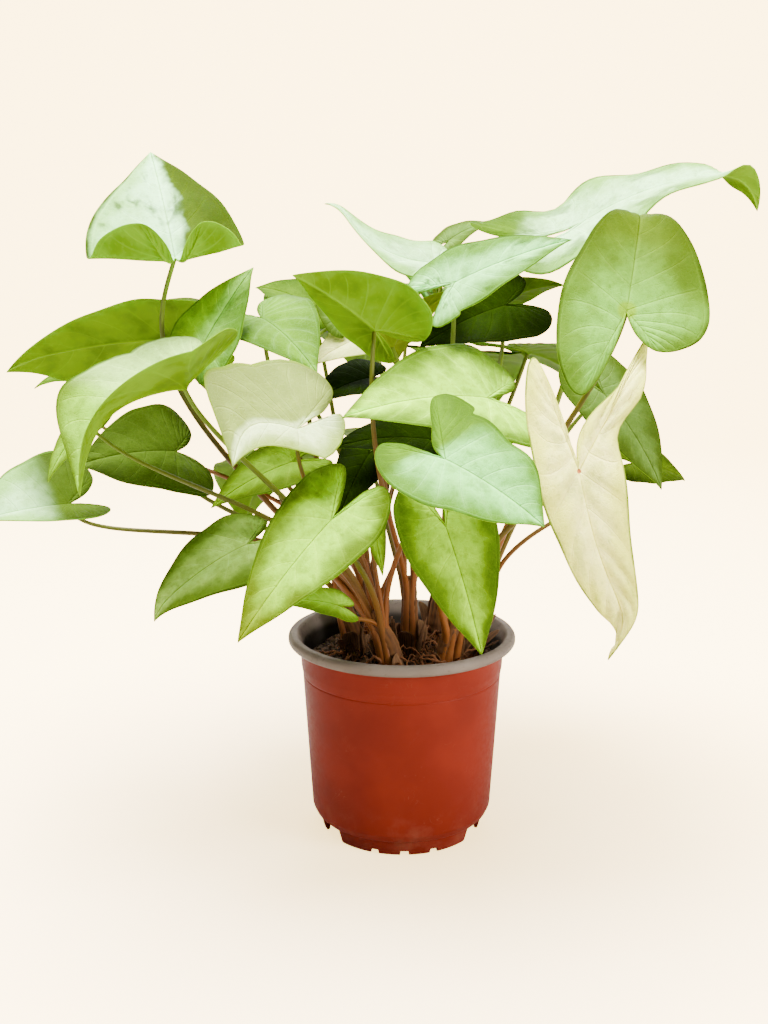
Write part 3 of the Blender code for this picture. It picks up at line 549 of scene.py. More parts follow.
def ring_cells(rings, sides):
    """Point numbers of the cells between rings: two neighbours on one ring, and the same two on the next."""
    i, k = np.meshgrid(np.arange(rings - 1), np.arange(sides), indexing="ij")
    n = (k + 1) % sides
    return i * sides + k, i * sides + n, (i + 1) * sides + n, (i + 1) * sides + k


def grid_cells(index):
    """Point numbers of the cells of a grid, the corners of each in turn."""
    return index[:-1, :-1], index[1:, :-1], index[1:, 1:], index[:-1, 1:]


def halved(a, b, c, d):
    """Each cell as two triangles."""
    return np.concatenate([np.stack([a, b, c], -1).reshape(-1, 3), np.stack([a, c, d], -1).reshape(-1, 3)])


def end_fan(centre, start, sides):
    """Triangles from a centre point to a ring whose points are numbered from start."""
    k = np.arange(sides)
    return np.stack([np.full(sides, centre), start + k, start + (k + 1) % sides], 1)


def tube(path, radii, sides, groove=0.0, side=None):
    """A closed tube along a path: rings of the given radii square to it, each read at evenly spaced angles.

    groove narrows the ring on the side that looks along the given direction. Returns points, triangles and,
    for each corner, the angle as a share of a turn and the distance along the path.
    """
    path = np.asarray(path, float)
    ahead = units(np.gradient(path, axis=0))
    if side is None:
        chord = path[-1] - path[0]
        side = np.cross(chord, (0.3, 1.0, 0.2))
    side = units(side - ahead * (ahead @ side)[:, None])
    up = np.cross(ahead, side)
    angle = np.linspace(0, 2 * math.pi, sides, endpoint=False)
    shape = 1 - groove * np.maximum(np.cos(angle), 0) ** 4
    around = np.cos(angle)[None, :, None] * side[:, None] + np.sin(angle)[None, :, None] * up[:, None]
    rings = path[:, None] + np.asarray(radii)[:, None, None] * shape[None, :, None] * around
    points = np.concatenate([rings.reshape(-1, 3), path[[0, -1]]])
    wall = halved(*ring_cells(len(path), sides))
    first = end_fan(len(points) - 2, 0, sides)[:, [0, 2, 1]]
    last = end_fan(len(points) - 1, (len(path) - 1) * sides, sides)
    length = np.concatenate([[0], np.cumsum(np.linalg.norm(np.diff(path, axis=0), axis=1))])
    spot_u = np.concatenate([np.tile(np.arange(sides) / sides, len(path)), [0.5, 0.5]])
    spot_v = np.concatenate([np.repeat(length, sides), length[[0, -1]]])
    tri = np.concatenate([wall, first, last])
    return points, tri, np.stack([spot_u, spot_v], 1)[tri.ravel()]


def joined(parts):
    """Several (points, triangles, corner values...) as one."""
    start = np.cumsum([0] + [len(part[0]) for part in parts[:-1]])
    points = np.concatenate([part[0] for part in parts])
    tri = np.concatenate([part[1] + shift for part, shift in zip(parts, start)])
    rest = [np.concatenate([part[k] for part in parts]) for k in range(2, len(parts[0]))]
    return (points, tri, *rest)


# Materials


class Graph:
    """Short ways to wire one node material."""

    def __init__(self, name):
        self.material = bpy.data.materials.new(name)
        self.material.use_nodes = True
        self.tree = self.material.node_tree
        self.shader = self.tree.nodes["Principled BSDF"]

    def put(self, socket, value):
        if isinstance(value, bpy.types.NodeSocket):
            self.tree.links.new(value, socket)
        elif isinstance(value, tuple) and len(value) == 3 and socket.type == "RGBA":
            socket.default_value = (*value, 1)
        else:
            socket.default_value = value

    def node(self, kind, inputs=(), **settings):
        made = self.tree.nodes.new("ShaderNode" + kind)
        for key, value in settings.items():
            setattr(made, key, value)
        for key, value in dict(inputs).items():
            self.put(made.inputs[key], value)
        return made

    def math(self, operation, a, b=0.0):
        return self.node("Math", {0: a, 1: b}, operation=operation).outputs[0]

    def times(self, a, b):
        return self.math("MULTIPLY", a, b)

    def plus(self, a, b):
        return self.math("ADD", a, b)

    def minus(self, a, b):
        return self.math("SUBTRACT", a, b)

    def most(self, a, b):
        return self.math("MAXIMUM", a, b)

    def mix(self, a, b, share, blend="MIX"):
        return self.node("Mix", {0: share, 6: a, 7: b}, data_type="RGBA", blend_type=blend).outputs[2]

    def ramp(self, value, low, high, to_low=0.0, to_high=1.0):
        inputs = {0: value, 1: low, 2: high, 3: to_low, 4: to_high}
        return self.node("MapRange", inputs, interpolation_type="SMOOTHSTEP").outputs[0]

    def noise(self, vector, scale, detail=2.0, roughness=0.5, distortion=0.0):
        inputs = {"Vector": vector, "Scale": scale, "Detail": detail, "Roughness": roughness, "Distortion": distortion}
        return self.node("TexNoise", inputs).outputs["Fac"]

    def uv(self, name):
        return self.node("UVMap", uv_map=name).outputs[0]

    def split(self, vector):
        return self.node("SeparateXYZ", {0: vector}).outputs

    def join(self, x, y, z=0.0):
        return self.node("CombineXYZ", {0: x, 1: y, 2: z}).outputs[0]

    def bump(self, height, strength, distance):
        made = self.node("Bump", {"Height": height, "Strength": strength, "Distance": distance})
        self.put(self.shader.inputs["Normal"], made.outputs[0])

    def finish(self, colour, roughness, **more):
        self.put(self.shader.inputs["Base Color"], colour)
        self.put(self.shader.inputs["Roughness"], roughness)
        for key, value in more.items():
            self.put(self.shader.inputs[key.replace("_", " ")], value)
        return self.material


# Colours of the upper face: light in the middle, deep at the margin, mark in blotches and flecks, vein on the
# veins. The deep margin is the leaf's own green edge with painted shade of its folds and quilting added.
# marks and veins say how strong these are.
LOOKS = {
    "mint": dict(light=(0.22, 0.70, 0.14), deep=(0.07, 0.18, 0.004), mark=(0.036, 0.09, 0.002), marks=0.35,
                 vein=(0.42, 0.86, 0.32), veins=0.40),
    "white": dict(light=(0.52, 0.94, 0.38), deep=(0.22, 0.48, 0.08), mark=(0.054, 0.12, 0.0072), marks=0.25,
                  vein=(0.66, 0.92, 0.52), veins=0.30),
    "lime": dict(light=(0.22, 0.46, 0.008), deep=(0.078, 0.144, 0.0024), mark=(0.042, 0.09, 0.0018), marks=0.15,
                 vein=(0.36, 0.64, 0.05), veins=0.40),
    "olive": dict(light=(0.051, 0.093, 0.0024), deep=(0.027, 0.051, 0.0012), mark=(0.018, 0.036, 0.0012), marks=0.3,
                  vein=(0.084, 0.132, 0.006), veins=0.45, gloss=0.010),
    "green": dict(light=(0.066, 0.138, 0.0036), deep=(0.03, 0.072, 0.0018), mark=(0.018, 0.042, 0.0012), marks=0.3,
                  vein=(0.12, 0.216, 0.012), veins=0.40, gloss=0.010),
    "sage": dict(light=(0.096, 0.186, 0.027), deep=(0.039, 0.072, 0.0036), mark=(0.027, 0.051, 0.0024), marks=0.35,
                 vein=(0.156, 0.252, 0.048), veins=0.40, gloss=0.010),
    "cream": dict(light=(0.70, 0.74, 0.24), deep=(0.52, 0.56, 0.16), mark=(0.16, 0.24, 0.012), marks=0.12,
                  vein=(0.84, 0.87, 0.42), veins=0.35),
    "beige": dict(light=(0.144, 0.18, 0.018), deep=(0.084, 0.12, 0.0036), mark=(0.132, 0.078, 0.0072), marks=0.3,
                  vein=(0.192, 0.228, 0.036), veins=0.40),
    "pale": dict(light=(0.38, 0.80, 0.010), deep=(0.07, 0.15, 0.002), mark=(0.06, 0.132, 0.0024), marks=0.25,
                 vein=(0.50, 0.84, 0.14), veins=0.55),
    "bright": dict(light=(0.19, 0.38, 0.004), deep=(0.06, 0.108, 0.0018), mark=(0.042, 0.084, 0.0018), marks=0.25,
                   vein=(0.32, 0.54, 0.04), veins=0.50),
    # dark is the leaf's own deep green made near black: the shade that these leaves lie in is painted into it.
    "dark": dict(light=(0.008, 0.019, 0.0005), deep=(0.004, 0.009, 0.0004), mark=(0.003, 0.007, 0.0004), marks=0.3,
                 vein=(0.024, 0.048, 0.0018), veins=0.35, gloss=0.006),
}
# Leaves that differ from their colour. second is a further colour where x and y, in leaf lengths from the joint
# along the blade and across it, weigh up to a value between low and high: where=(x, y, low, high).
# heart is the colour of a spot round the joint, with its radius in leaf lengths.
OWN_LOOKS = {
    1: dict(second=(0.045, 0.081, 0.0018), where=(0, -1, 0.0, 0.10), marks=0.85, mark=(0.03, 0.06, 0.0018),
            gloss=0.010, light=(0.46, 0.90, 0.40), deep=(0.24, 0.50, 0.12)),
    4: dict(light=(0.26, 0.56, 0.012), second=(0.50, 0.84, 0.18), where=(-1, 0, -0.55, -0.2)),
    5: dict(light=(0.28, 0.62, 0.06), second=(0.20, 0.42, 0.003), where=(0, 1, 0.02, 0.16)),
    6: dict(light=(0.105, 0.25, 0.004), deep=(0.05, 0.12, 0.002), marks=0.2),
    12: dict(light=(0.66, 0.84, 0.36), second=(0.27, 0.36, 0.07), where=(0, -1, 0.0, 0.10), marks=0.2, veins=0.2,
             deep=(0.28, 0.40, 0.06)),
    14: dict(second=(0.078, 0.18, 0.004), where=(-1, 0.6, 0.0, 0.22), marks=0.3),
    15: dict(light=(0.36, 0.76, 0.004), second=(0.15, 0.22, 0.002), where=(1, 0, 0.35, 0.95), marks=0.2),
    16: dict(light=(0.29, 0.58, 0.002), deep=(0.036, 0.080, 0.0008), marks=0.5,
             vein=(0.30, 0.56, 0.01), veins=0.35),
    17: dict(light=(0.92, 0.90, 0.26), deep=(0.72, 0.74, 0.10), heart=((0.50, 0.16, 0.05), 0.015), marks=0.3,
             mark=(0.12, 0.19, 0.006)),
    18: dict(light=(0.17, 0.44, 0.04), second=(0.06, 0.105, 0.003), where=(1, 0, -0.10, 0.55), marks=0.15,
             gloss=0.008, deep=(0.078, 0.162, 0.0072), heart=((0.17, 0.32, 0.003), 0.075)),
    19: dict(marks=0.55, light=(0.50, 0.90, 0.38), deep=(0.18, 0.40, 0.05), second=(0.078, 0.162, 0.0048),
             where=(-1, 0, 0.12, 0.4)),
    20: dict(marks=0.75, mark=(0.03, 0.072, 0.0024), light=(0.28, 0.74, 0.20)),
    25: dict(light=(0.075, 0.135, 0.003), deep=(0.04, 0.075, 0.0015)),
    28: dict(light=(0.06, 0.11, 0.008), deep=(0.027, 0.051, 0.0024), marks=0.25, veins=0.2),
    29: dict(light=(0.44, 0.80, 0.32), second=(0.042, 0.078, 0.0036), where=(-1, 0, -0.55, -0.1), marks=0.15,
             veins=0.12),
    32: dict(light=(0.40, 0.68, 0.09), deep=(0.08, 0.15, 0.004), marks=0.25),
}
# Undersides
BACKS = {
    "mint": (0.135, 0.261, 0.0025), "white": (0.152, 0.283, 0.005), "lime": (0.122, 0.237, 0.002),
    "olive": (0.077, 0.146, 0.002), "green": (0.081, 0.17, 0.002), "sage": (0.099, 0.192, 0.0038),
    "cream": (0.152, 0.232, 0.0038), "beige": (0.152, 0.211, 0.005), "pale": (0.117, 0.242, 0.0025),
    # The dark underside also has the shade that those leaves lie in painted into it.
    "bright": (0.107, 0.221, 0.002), "dark": (0.02, 0.049, 0.0006),
}


def vein_lines(graph, width_side, width_main):
    """Masks of the side veins, with the vein that collects them near the margin, and of the main vein.

    The widths are in mm, and even all along a vein.
    """
    rows = graph.split(graph.uv("rows"))
    gauge = graph.split(graph.uv("gauge"))
    phase = graph.math("FRACT", graph.plus(rows[0], 0.5))
    off = graph.times(graph.math("ABSOLUTE", graph.minus(phase, 0.5)), gauge[0])
    side = graph.ramp(off, width_side, width_side * 0.25)
    side = graph.times(side, graph.ramp(rows[1], 0.98, 0.70))
    main = graph.ramp(gauge[1], width_main, width_main * 0.35)
    rim = graph.math("ABSOLUTE", graph.minus(rows[1], 0.93))
    collect = graph.times(graph.ramp(rim, 0.018, 0.004), 0.5)
    return graph.most(side, collect), main


def leaf_upper(name, light, deep, mark, marks, vein, veins, gloss=0.018, second=None, where=None, heart=None):
    """Upper face: a light middle and a deep margin that is partly painted shade, blotches between the veins, a fine
    net, paler veins, painted shade as a thin darker line in the midrib's groove, flecks towards the margin and a
    dark brim."""
    graph = Graph(name)
    flat = graph.uv("flat")
    spot = graph.uv("spot")
    rows = graph.split(graph.uv("rows"))
    broad = graph.noise(flat, 5.0, 3.0)
    cloud = graph.noise(flat, 11.0, 4.0, 0.6)
    fine = graph.noise(flat, 38.0, 4.0, 0.6)
    loose = graph.times(graph.minus(broad, 0.5), 1.1)
    if second:
        x, y, _ = graph.split(spot)
        reach = graph.plus(graph.times(x, where[0]), graph.times(y, where[1]))
        reach = graph.plus(reach, graph.times(loose, 0.25))
        share = graph.ramp(reach, where[2], where[3])
        light = graph.mix(light, second, share)
        deep = graph.mix(deep, tuple(c * 0.6 for c in second), share)
        vein = graph.mix(vein, tuple(c * 1.7 for c in second), share)
    edge = graph.plus(rows[1], loose)
    # The deep margin is the leaf's own green edge, reaching further in as painted shade of its folds and quilting.
    colour = graph.mix(light, deep, graph.ramp(edge, 0.25, 0.95, 0.0, 0.95))
    colour = graph.mix(colour, deep, graph.ramp(cloud, 0.44, 0.68, 0.0, 0.40))
    stretched = graph.join(graph.times(rows[0], 0.5), graph.times(rows[1], 1.1), broad)
    blotch = graph.ramp(graph.noise(stretched, 1.6, 3.0, 0.55), 0.55, 0.70)
    colour = graph.mix(colour, mark, graph.times(blotch, marks))
    colour = graph.mix(colour, mark, graph.ramp(fine, 0.50, 0.72, 0.0, 0.28))
    net = graph.node("TexVoronoi", {"Vector": flat, "Scale": 46.0}, feature="DISTANCE_TO_EDGE").outputs[0]
    netting = graph.ramp(net, 0.09, 0.01)
    pale = graph.mix(graph.mix(colour, (1.9, 1.75, 2.2), 1.0, "MULTIPLY"), vein, 0.25)
    colour = graph.mix(colour, pale, graph.times(netting, 0.14))
    side, main = vein_lines(graph, 0.50, 2.4)
    gauge = graph.split(graph.uv("gauge"))
    wide, _ = vein_lines(graph, 1.9, 1.0)
    side_tint = graph.plus(graph.times(side, 0.45), graph.times(wide, 0.40))
    lines = graph.most(side_tint, graph.times(main, 0.8))
    colour = graph.mix(colour, pale, graph.times(lines, veins))
    # Painted shade: a thin darker line in the midrib's groove, which the bump also sinks.
    midrib_groove = graph.ramp(gauge[1], 0.42, 0.15)
    colour = graph.mix(colour, deep, graph.times(midrib_groove, 0.65))
    flecks = graph.ramp(graph.noise(flat, 90.0, 2.0), 0.68, 0.74)
    flecks = graph.times(flecks, graph.ramp(rows[1], 0.70, 0.98))
    colour = graph.mix(colour, mark, graph.times(flecks, 0.7))
    brim = graph.times(graph.ramp(rows[1], 0.930, 0.985), graph.ramp(broad, 0.36, 0.58, 0.45, 1.0))
    colour = graph.mix(colour, mark, brim)
    if heart:
        away = graph.node("VectorMath", {0: spot}, operation="LENGTH").outputs["Value"]
        colour = graph.mix(colour, heart[0], graph.ramp(away, heart[1], heart[1] * 0.6))
    height = graph.plus(graph.times(side, -0.8), graph.times(netting, -0.30))
    height = graph.plus(height, graph.times(midrib_groove, -0.8))
    height = graph.plus(height, graph.times(fine, 0.5))
    graph.bump(height, 0.6, 0.0006)
    rough = graph.ramp(fine, 0.3, 0.7, 0.42, 0.55)
    return graph.finish(colour, rough, Specular_IOR_Level=gloss, Subsurface_Weight=0.10,
                        Subsurface_Radius=(0.6, 1.0, 0.1), Subsurface_Scale=0.0015)


def leaf_under(name, colour):
    """Underside: mottled softly, with raised paler veins."""
    graph = Graph(name)
    flat = graph.uv("flat")
    rows = graph.split(graph.uv("rows"))
    broad = graph.noise(flat, 6.0, 3.0)
    fine = graph.noise(flat, 45.0, 3.0)
    darker = tuple(c * 0.66 for c in colour)
    paler = tuple(min(c * 1.35 + 0.004, 0.9) for c in colour)
    tint = graph.mix(colour, darker, graph.ramp(broad, 0.40, 0.68))
    tint = graph.mix(tint, paler, graph.ramp(fine, 0.5, 0.8, 0.0, 0.3))
    side, main = vein_lines(graph, 0.6, 1.0)
    lines = graph.most(graph.times(side, 0.5), main)
    tint = graph.mix(tint, paler, graph.times(lines, 0.6))
    tint = graph.mix(tint, paler, graph.ramp(rows[1], 0.97, 1.0, 0.0, 0.6))
    graph.bump(graph.plus(lines, graph.times(fine, 0.4)), 0.3, 0.0004)
    return graph.finish(tint, 0.5, Specular_IOR_Level=0.015, Subsurface_Weight=0.2,
                        Subsurface_Radius=(0.6, 1.0, 0.05), Subsurface_Scale=0.0015)


def stalk_finish():
    """Stalks: brown-orange at the foot, olive and then green further up, with fine streaks along them."""
    graph = Graph("stalk_skin")
    along = graph.split(graph.uv("along"))
    place = graph.split(graph.uv("place"))
    streak = graph.noise(graph.join(graph.times(along[0], 9.0), graph.times(along[1], 22.0),
                                    graph.times(place[1], 40.0)), 1.0, 3.0)
    height = graph.plus(place[0], graph.times(graph.minus(streak, 0.5), 0.22))
    height = graph.minus(height, graph.times(place[1], 0.35))
    colour = graph.mix(STALK_FOOT, STALK_LOW, graph.ramp(height, 0.02, 0.22))
    colour = graph.mix(colour, STALK_MIDDLE, graph.ramp(height, 0.20, 0.46))
    colour = graph.mix(colour, STALK_TOP, graph.ramp(height, 0.44, 0.85))
    colour = graph.mix(colour, STALK_STREAK, graph.ramp(streak, 0.58, 0.78, 0.0, 0.55))
    graph.bump(streak, 0.25, 0.0004)
    return graph.finish(colour, 0.42, Specular_IOR_Level=0.15)


def husk_finish(name, base, dark):
    """Dry, papery brown."""
    graph = Graph(name)
    along = graph.split(graph.uv("along"))
    fibre = graph.noise(graph.join(graph.times(along[0], 14.0), graph.times(along[1], 60.0)),
                        1.0, 3.0)
    colour = graph.mix(base, dark, graph.ramp(fibre, 0.35, 0.70))
    graph.bump(fibre, 0.4, 0.0005)
    return graph.finish(colour, 0.8, Specular_IOR_Level=0.2)


def soil_finish(name, base, other, share):
    """Crumbly matt brown: a second colour in lumps, and dark grains."""
    graph = Graph(name)
    place = graph.node("TexCoord").outputs["Object"]
    grain = graph.noise(place, 900.0, 4.0, 0.65)
    lump = graph.noise(place, 160.0, 3.0)
    colour = graph.mix(base, other, graph.ramp(lump, 0.50, 0.68, 0.0, share))
    colour = graph.mix(colour, tuple(c * 0.35 for c in base), graph.ramp(grain, 0.50, 0.72, 0.0, 0.8))
    graph.bump(grain, 0.8, 0.0010)
    return graph.finish(colour, 0.92, Specular_IOR_Level=0.15)


def pot_finish():
    """Red plastic outside, grey rim and inside with painted shade darkening the inside wall below the rim, dust
    towards the foot, scuffs and hair scratches.
    """
    graph = Graph("pot_two_colours")
    place = graph.node("TexCoord").outputs["Object"]
    x, y, z = graph.split(place)
    flat = graph.join(x, y, 0.0)
    radius = graph.node("VectorMath", {0: flat}, operation="LENGTH").outputs["Value"]
    ends = {1: WALL_LOW[1], 2: WALL_HIGH[1], 3: WALL_LOW[0], 4: WALL_HIGH[0]}
    middle = graph.node("MapRange", {0: z, **ends}).outputs[0]
    inside = graph.math("GREATER_THAN", middle, radius)
    inside = graph.times(inside, graph.math("GREATER_THAN", z, POT_FLOOR))
    rim = graph.math("GREATER_THAN", z, RIM_FROM)
    grey_share = graph.most(inside, rim)
    broad = graph.noise(place, 28.0, 3.0)
    fine = graph.noise(place, 420.0, 4.0, 0.6)
    red = graph.mix(POT_RED, POT_RED_DEEP, graph.ramp(broad, 0.35, 0.65))
    low = graph.ramp(z, 0.034, 0.006)
    dust = graph.times(graph.ramp(graph.noise(place, 75.0, 5.0, 0.65), 0.44, 0.72), low)
    dust = graph.times(dust, 0.55)
    worn_places = graph.ramp(graph.noise(place, 34.0, 2.0), 0.60, 0.68)
    scuff = graph.times(graph.ramp(graph.noise(place, 330.0, 5.0, 0.7, 0.6), 0.60, 0.70), worn_places)
    hair = graph.noise(place, 60.0, 2.0, 0.5, 2.5)
    hair = graph.ramp(graph.math("ABSOLUTE", graph.minus(hair, 0.5)), 0.0035, 0.001)
    hair = graph.times(hair, graph.ramp(graph.noise(place, 45.0, 2.0), 0.56, 0.64))
    worn = graph.most(dust, graph.times(scuff, 0.45))
    worn = graph.most(worn, graph.times(hair, 0.5))
    red = graph.mix(red, POT_WORN, worn)
    grey = graph.mix(RIM_GREY, RIM_GREY_PALE, graph.ramp(broad, 0.35, 0.65))
    grey = graph.mix(grey, RIM_STAIN, graph.ramp(fine, 0.56, 0.80, 0.0, 0.5))
    # Painted shade: the inside wall darkens below the rim.
    grey = graph.mix(grey, WALL_PAINTED_SHADE, graph.ramp(z, 0.1045, 0.098))
    colour = graph.mix(red, grey, grey_share)
    height = graph.plus(graph.times(fine, 0.5), worn)
    graph.bump(height, 0.10, 0.0004)
    rough = graph.plus(graph.ramp(fine, 0.3, 0.7, 0.40, 0.50), graph.times(worn, 0.25))
    return graph.finish(colour, rough, Specular_IOR_Level=0.05)


# Pieces


def blade_grid(leaf):
    """Both flat halves as grids of rows, from the midrib or the lobe's vein to the outline.

    Returns the points, the row of each counted in side veins, its share of the way across, and its gauge: the
    gap between side veins and the way from the midrib, both in mm.
    """
    along = BLADE_ALONG if leaf.length > SMALL_LEAF else BLADE_ALONG // 2
    grid = np.stack([half_blade(along, ACROSS_AT, leaf.form, side) * [1, 1 - 2 * side] for side in (0, 1)])
    t = np.broadcast_to(np.linspace(0, 1, along + 1)[None, :, None], grid.shape[:3])
    v = np.broadcast_to(ACROSS_AT[None, None], grid.shape[:3])
    row = VEINS * t - VEIN_SWEEP * np.sin(3 * np.pi * t) * v**2
    row_length = np.linalg.norm(grid[:, :, -1] - grid[:, :, 0], axis=-1)[..., None]
    side_gap = np.linalg.norm(np.gradient(grid, axis=1), axis=-1) * along / VEINS
    gauge = np.stack([side_gap, v * row_length], -1) * leaf.length * 1000
    return grid, row.reshape(-1), v.reshape(-1), gauge.reshape(-1, 2)


def blade_cells(grid):
    """Triangles of both halves by their grid points, and the same with points in one place as one point.

    Returns for each merged point the grid point that it keeps, both lists of triangles, and the margin as a
    loop of grid points and of merged points.
    """
    index = np.arange(grid[..., 0].size).reshape(grid.shape[:3])
    raw = np.concatenate([halved(*grid_cells(index[0])), halved(*grid_cells(index[1]))[:, ::-1]])
    places = np.round(grid.reshape(-1, 2), 6)
    _, first, inverse = np.unique(places, axis=0, return_index=True, return_inverse=True)
    inverse = inverse.reshape(-1)
    tri = inverse[raw]
    whole = (tri[:, 0] != tri[:, 1]) & (tri[:, 1] != tri[:, 2]) & (tri[:, 0] != tri[:, 2])
    loop_raw = np.concatenate([index[0, :, -1], index[1, ::-1, -1]])
    loop = inverse[loop_raw]
    keep = np.concatenate([[True], loop[1:] != loop[:-1]])
    loop, loop_raw = loop[keep], loop_raw[keep]
    if loop[0] == loop[-1]:
        loop, loop_raw = loop[:-1], loop_raw[:-1]
    return first, raw[whole], tri[whole], loop_raw, loop


def blade_relief(leaf, spot, row, v, main, seed):
    """How far the upper and the lower face lie off the middle of the blade.

    Both faces swell between the side veins by |sin(pi * row)| and rise and sink by a few crossed sine waves. The
    upper one sinks along the main vein, and the lower one has a keel under it and a swelling at the joint.
    """
    phases = seed.uniform(0, 2 * np.pi, 6)
    uneven = sum(np.sin(spot[:, 0] * (5 + 3 * k) + phases[k]) * np.sin(spot[:, 1] * (7 + 4 * k) + phases[k + 3])
                 for k in range(3)) / 3
    quilt = QUILT_MM.get(leaf.number, USUAL_QUILT_MM) / 1000
    window = np.sin(np.pi * np.clip(v, 0, 1)) ** 0.7
    swell = quilt * (np.abs(np.sin(np.pi * row)) ** 0.8 - 0.3) * window + UNEVEN * uneven * smooth(v * 3)
    swell *= min(leaf.length / 0.06, 1.2)
    groove = GROOVE * np.exp(-(main / 0.8) ** 2)
    near_joint = np.hypot(spot[:, 0], spot[:, 1]) * leaf.length
    fade = np.clip(1 - spot[:, 0], 0.25, 1.0)
    keel = KEEL * fade * np.exp(-(main / 0.9) ** 2) + JOINT_SWELL * np.exp(-(near_joint / 0.0020) ** 2)
    half = (EDGE_THICKNESS + (BLADE_THICKNESS - EDGE_THICKNESS) * smooth((1 - v) * 3)) / 2
    return half + swell - groove, -half + swell * 0.85 - keel


def blade_rim(tri, loop, loop_raw, count):
    """Triangles from the upper face over a ring of points past the margin to the lower face."""
    ring = np.arange(len(loop))
    x, y, ring_next = loop, np.roll(loop, -1), np.roll(ring, -1)
    rim = np.concatenate([
        np.stack([y, x, 2 * count + ring], 1), np.stack([y, 2 * count + ring, 2 * count + ring_next], 1),
        np.stack([2 * count + ring_next, 2 * count + ring, x + count], 1),
        np.stack([2 * count + ring_next, x + count, y + count], 1),
    ])
    raw_x, raw_y = loop_raw, np.roll(loop_raw, -1)
    rim_raw = np.concatenate([np.stack([raw_y, raw_x, raw_x], 1), np.stack([raw_y, raw_x, raw_y], 1)] * 2)
    edges = {tuple(edge) for edge in np.concatenate([tri[:, [0, 1]], tri[:, [1, 2]], tri[:, [2, 0]]]).tolist()}
    if (int(x[0]), int(y[0])) not in edges:
        rim, rim_raw = rim[:, ::-1], rim_raw[:, ::-1]
    return rim, rim_raw


def blade(leaf, upper, under):
    """One fine blade: the bent grid is its middle, both faces lie off it by their relief, and a rounded rim joins
    them. The upper face has one finish, the lower face and the rim the other."""
    grid, row, v, gauge = blade_grid(leaf)
    first, raw, tri, loop_raw, loop = blade_cells(grid)
    seed = np.random.default_rng(100 + leaf.number)
    flat = grid.reshape(-1, 2)
    mid = leaf.place(flat[first])
    normal = point_normals(mid, tri)
    above, below = blade_relief(leaf, flat[first], row[first], v[first], gauge[first, 1], seed)
    upper_points = mid + normal * above[:, None]
    lower_points = mid + normal * below[:, None]
    side = units(mid[loop] - mid[np.roll(loop, 1)])
    outward = units(np.cross(side, normal[loop]))
    if (outward * (mid[loop] - mid.mean(0))).sum() < 0:
        outward = -outward
    rim_points = (upper_points[loop] + lower_points[loop]) / 2 + outward * EDGE_THICKNESS * 0.4
    rim, rim_raw = blade_rim(tri, loop, loop_raw, len(mid))
    points = np.concatenate([upper_points, lower_points, rim_points])
    faces = np.concatenate([tri, tri[:, ::-1] + len(mid), rim])
    corner = np.concatenate([raw, raw[:, ::-1], rim_raw]).ravel()
    shift = seed.uniform(0, 40, 2)
    corners = dict(
        flat=(flat * leaf.length / PATTERN_SIZE + shift)[corner],
        spot=flat[corner],
        rows=np.stack([row, v], -1)[corner] + [VEINS * 2 * leaf.number, 0],
        gauge=gauge[corner],
    )
    which = np.repeat([0, 1], [len(tri), len(tri) + len(rim)])
    return new_piece(leaf.name + "_blade", points, faces, [upper, under], leaf.name, corners, which)


def stalks_of(key, stem, leaves, routes, finish):
    """All stalks of one stem.

    Each is a grooved tube that starts in the soil beside the stem, wide at its foot like a sheath, follows its
    curve and narrows to the blade.
    """
    path = stem_path(stem)
    parts = []
    own = [leaf for leaf in leaves if leaf.stem == key]
    for leaf in own:
        seed = np.random.default_rng(500 + leaf.number)
        fine = through(routes[leaf.number], FINE_STALK_POINTS)
        away = fine[30] - fine[0]
        away[2] = 0
        turn = seed.uniform(-0.9, 0.9)
        away = unit(away) if np.linalg.norm(away) > 1e-6 else np.array([1.0, 0, 0])
        away = np.array([away[0] * math.cos(turn) - away[1] * math.sin(turn),
                         away[0] * math.sin(turn) + away[1] * math.cos(turn), 0])
        foot = path[1] + away * SHEATH_SPREAD - (0, 0, 0.006)
        lower = np.linspace(foot, fine[0] + away * SHEATH_OFF, 16)[:-1]
        t = np.linspace(0, 1, len(fine))[:, None]
        upper_part = fine + away * SHEATH_OFF * (1 - smooth(t / 0.16))
        whole = np.vstack([lower, upper_part, leaf.joint - leaf.normal() * 0.0004])
        for _ in range(14):
            whole[1:-1] = (whole[:-2] + 2 * whole[1:-1] + whole[2:]) / 4
        length = np.concatenate([[0], np.cumsum(np.linalg.norm(np.diff(whole, axis=0), axis=1))])
        s = length / length[-1]
        size = min(1.0, 0.62 + leaf.length / 0.25)
        radii = np.interp(s, [0, 0.10, 0.25, 0.8, 1.0],
                          [0.0029, 0.0025 * size, 0.0019 * size, 0.0014 * size, 0.0012 * size])
        points, tri, corner = tube(whole, radii, FINE_STALK_SIDES, 0.16, side=away)
        s_of, height = (np.concatenate([np.repeat(values, FINE_STALK_SIDES), values[[0, -1]]])[tri.ravel()]
                        for values in (s, whole[:, 2]))
        rise = (height - SOIL_TOP) / 0.22
        place = np.stack([0.5 * (s_of + rise), np.full(len(s_of), seed.uniform(0, 1))], 1)
        parts.append((points, tri, corner, place))
    points, tri, corner, place = joined(parts)
    corners = dict(along=corner, place=place)
    return new_piece(f"stem_{key}_stalks", points, tri, [finish], "stem_" + key, corners)


def crown(key, stem, finish):
    """The short stem itself: a tube with the rings of old leaf scars."""
    path = through(stem_path(stem)[1:], 40)
    path = np.vstack([path[0] - (0, 0, 0.010), path])
    s = np.linspace(0, 1, len(path))
    radii = np.linspace(STEM_RADIUS, STEM_TOP_RADIUS, len(path)) * (1 + 0.06 * np.abs(np.sin(s * 26)))
    points, tri, corner = tube(path, radii, 20)
    return new_piece(f"stem_{key}_crown", points, tri, [finish], "stem_" + key, dict(along=corner))


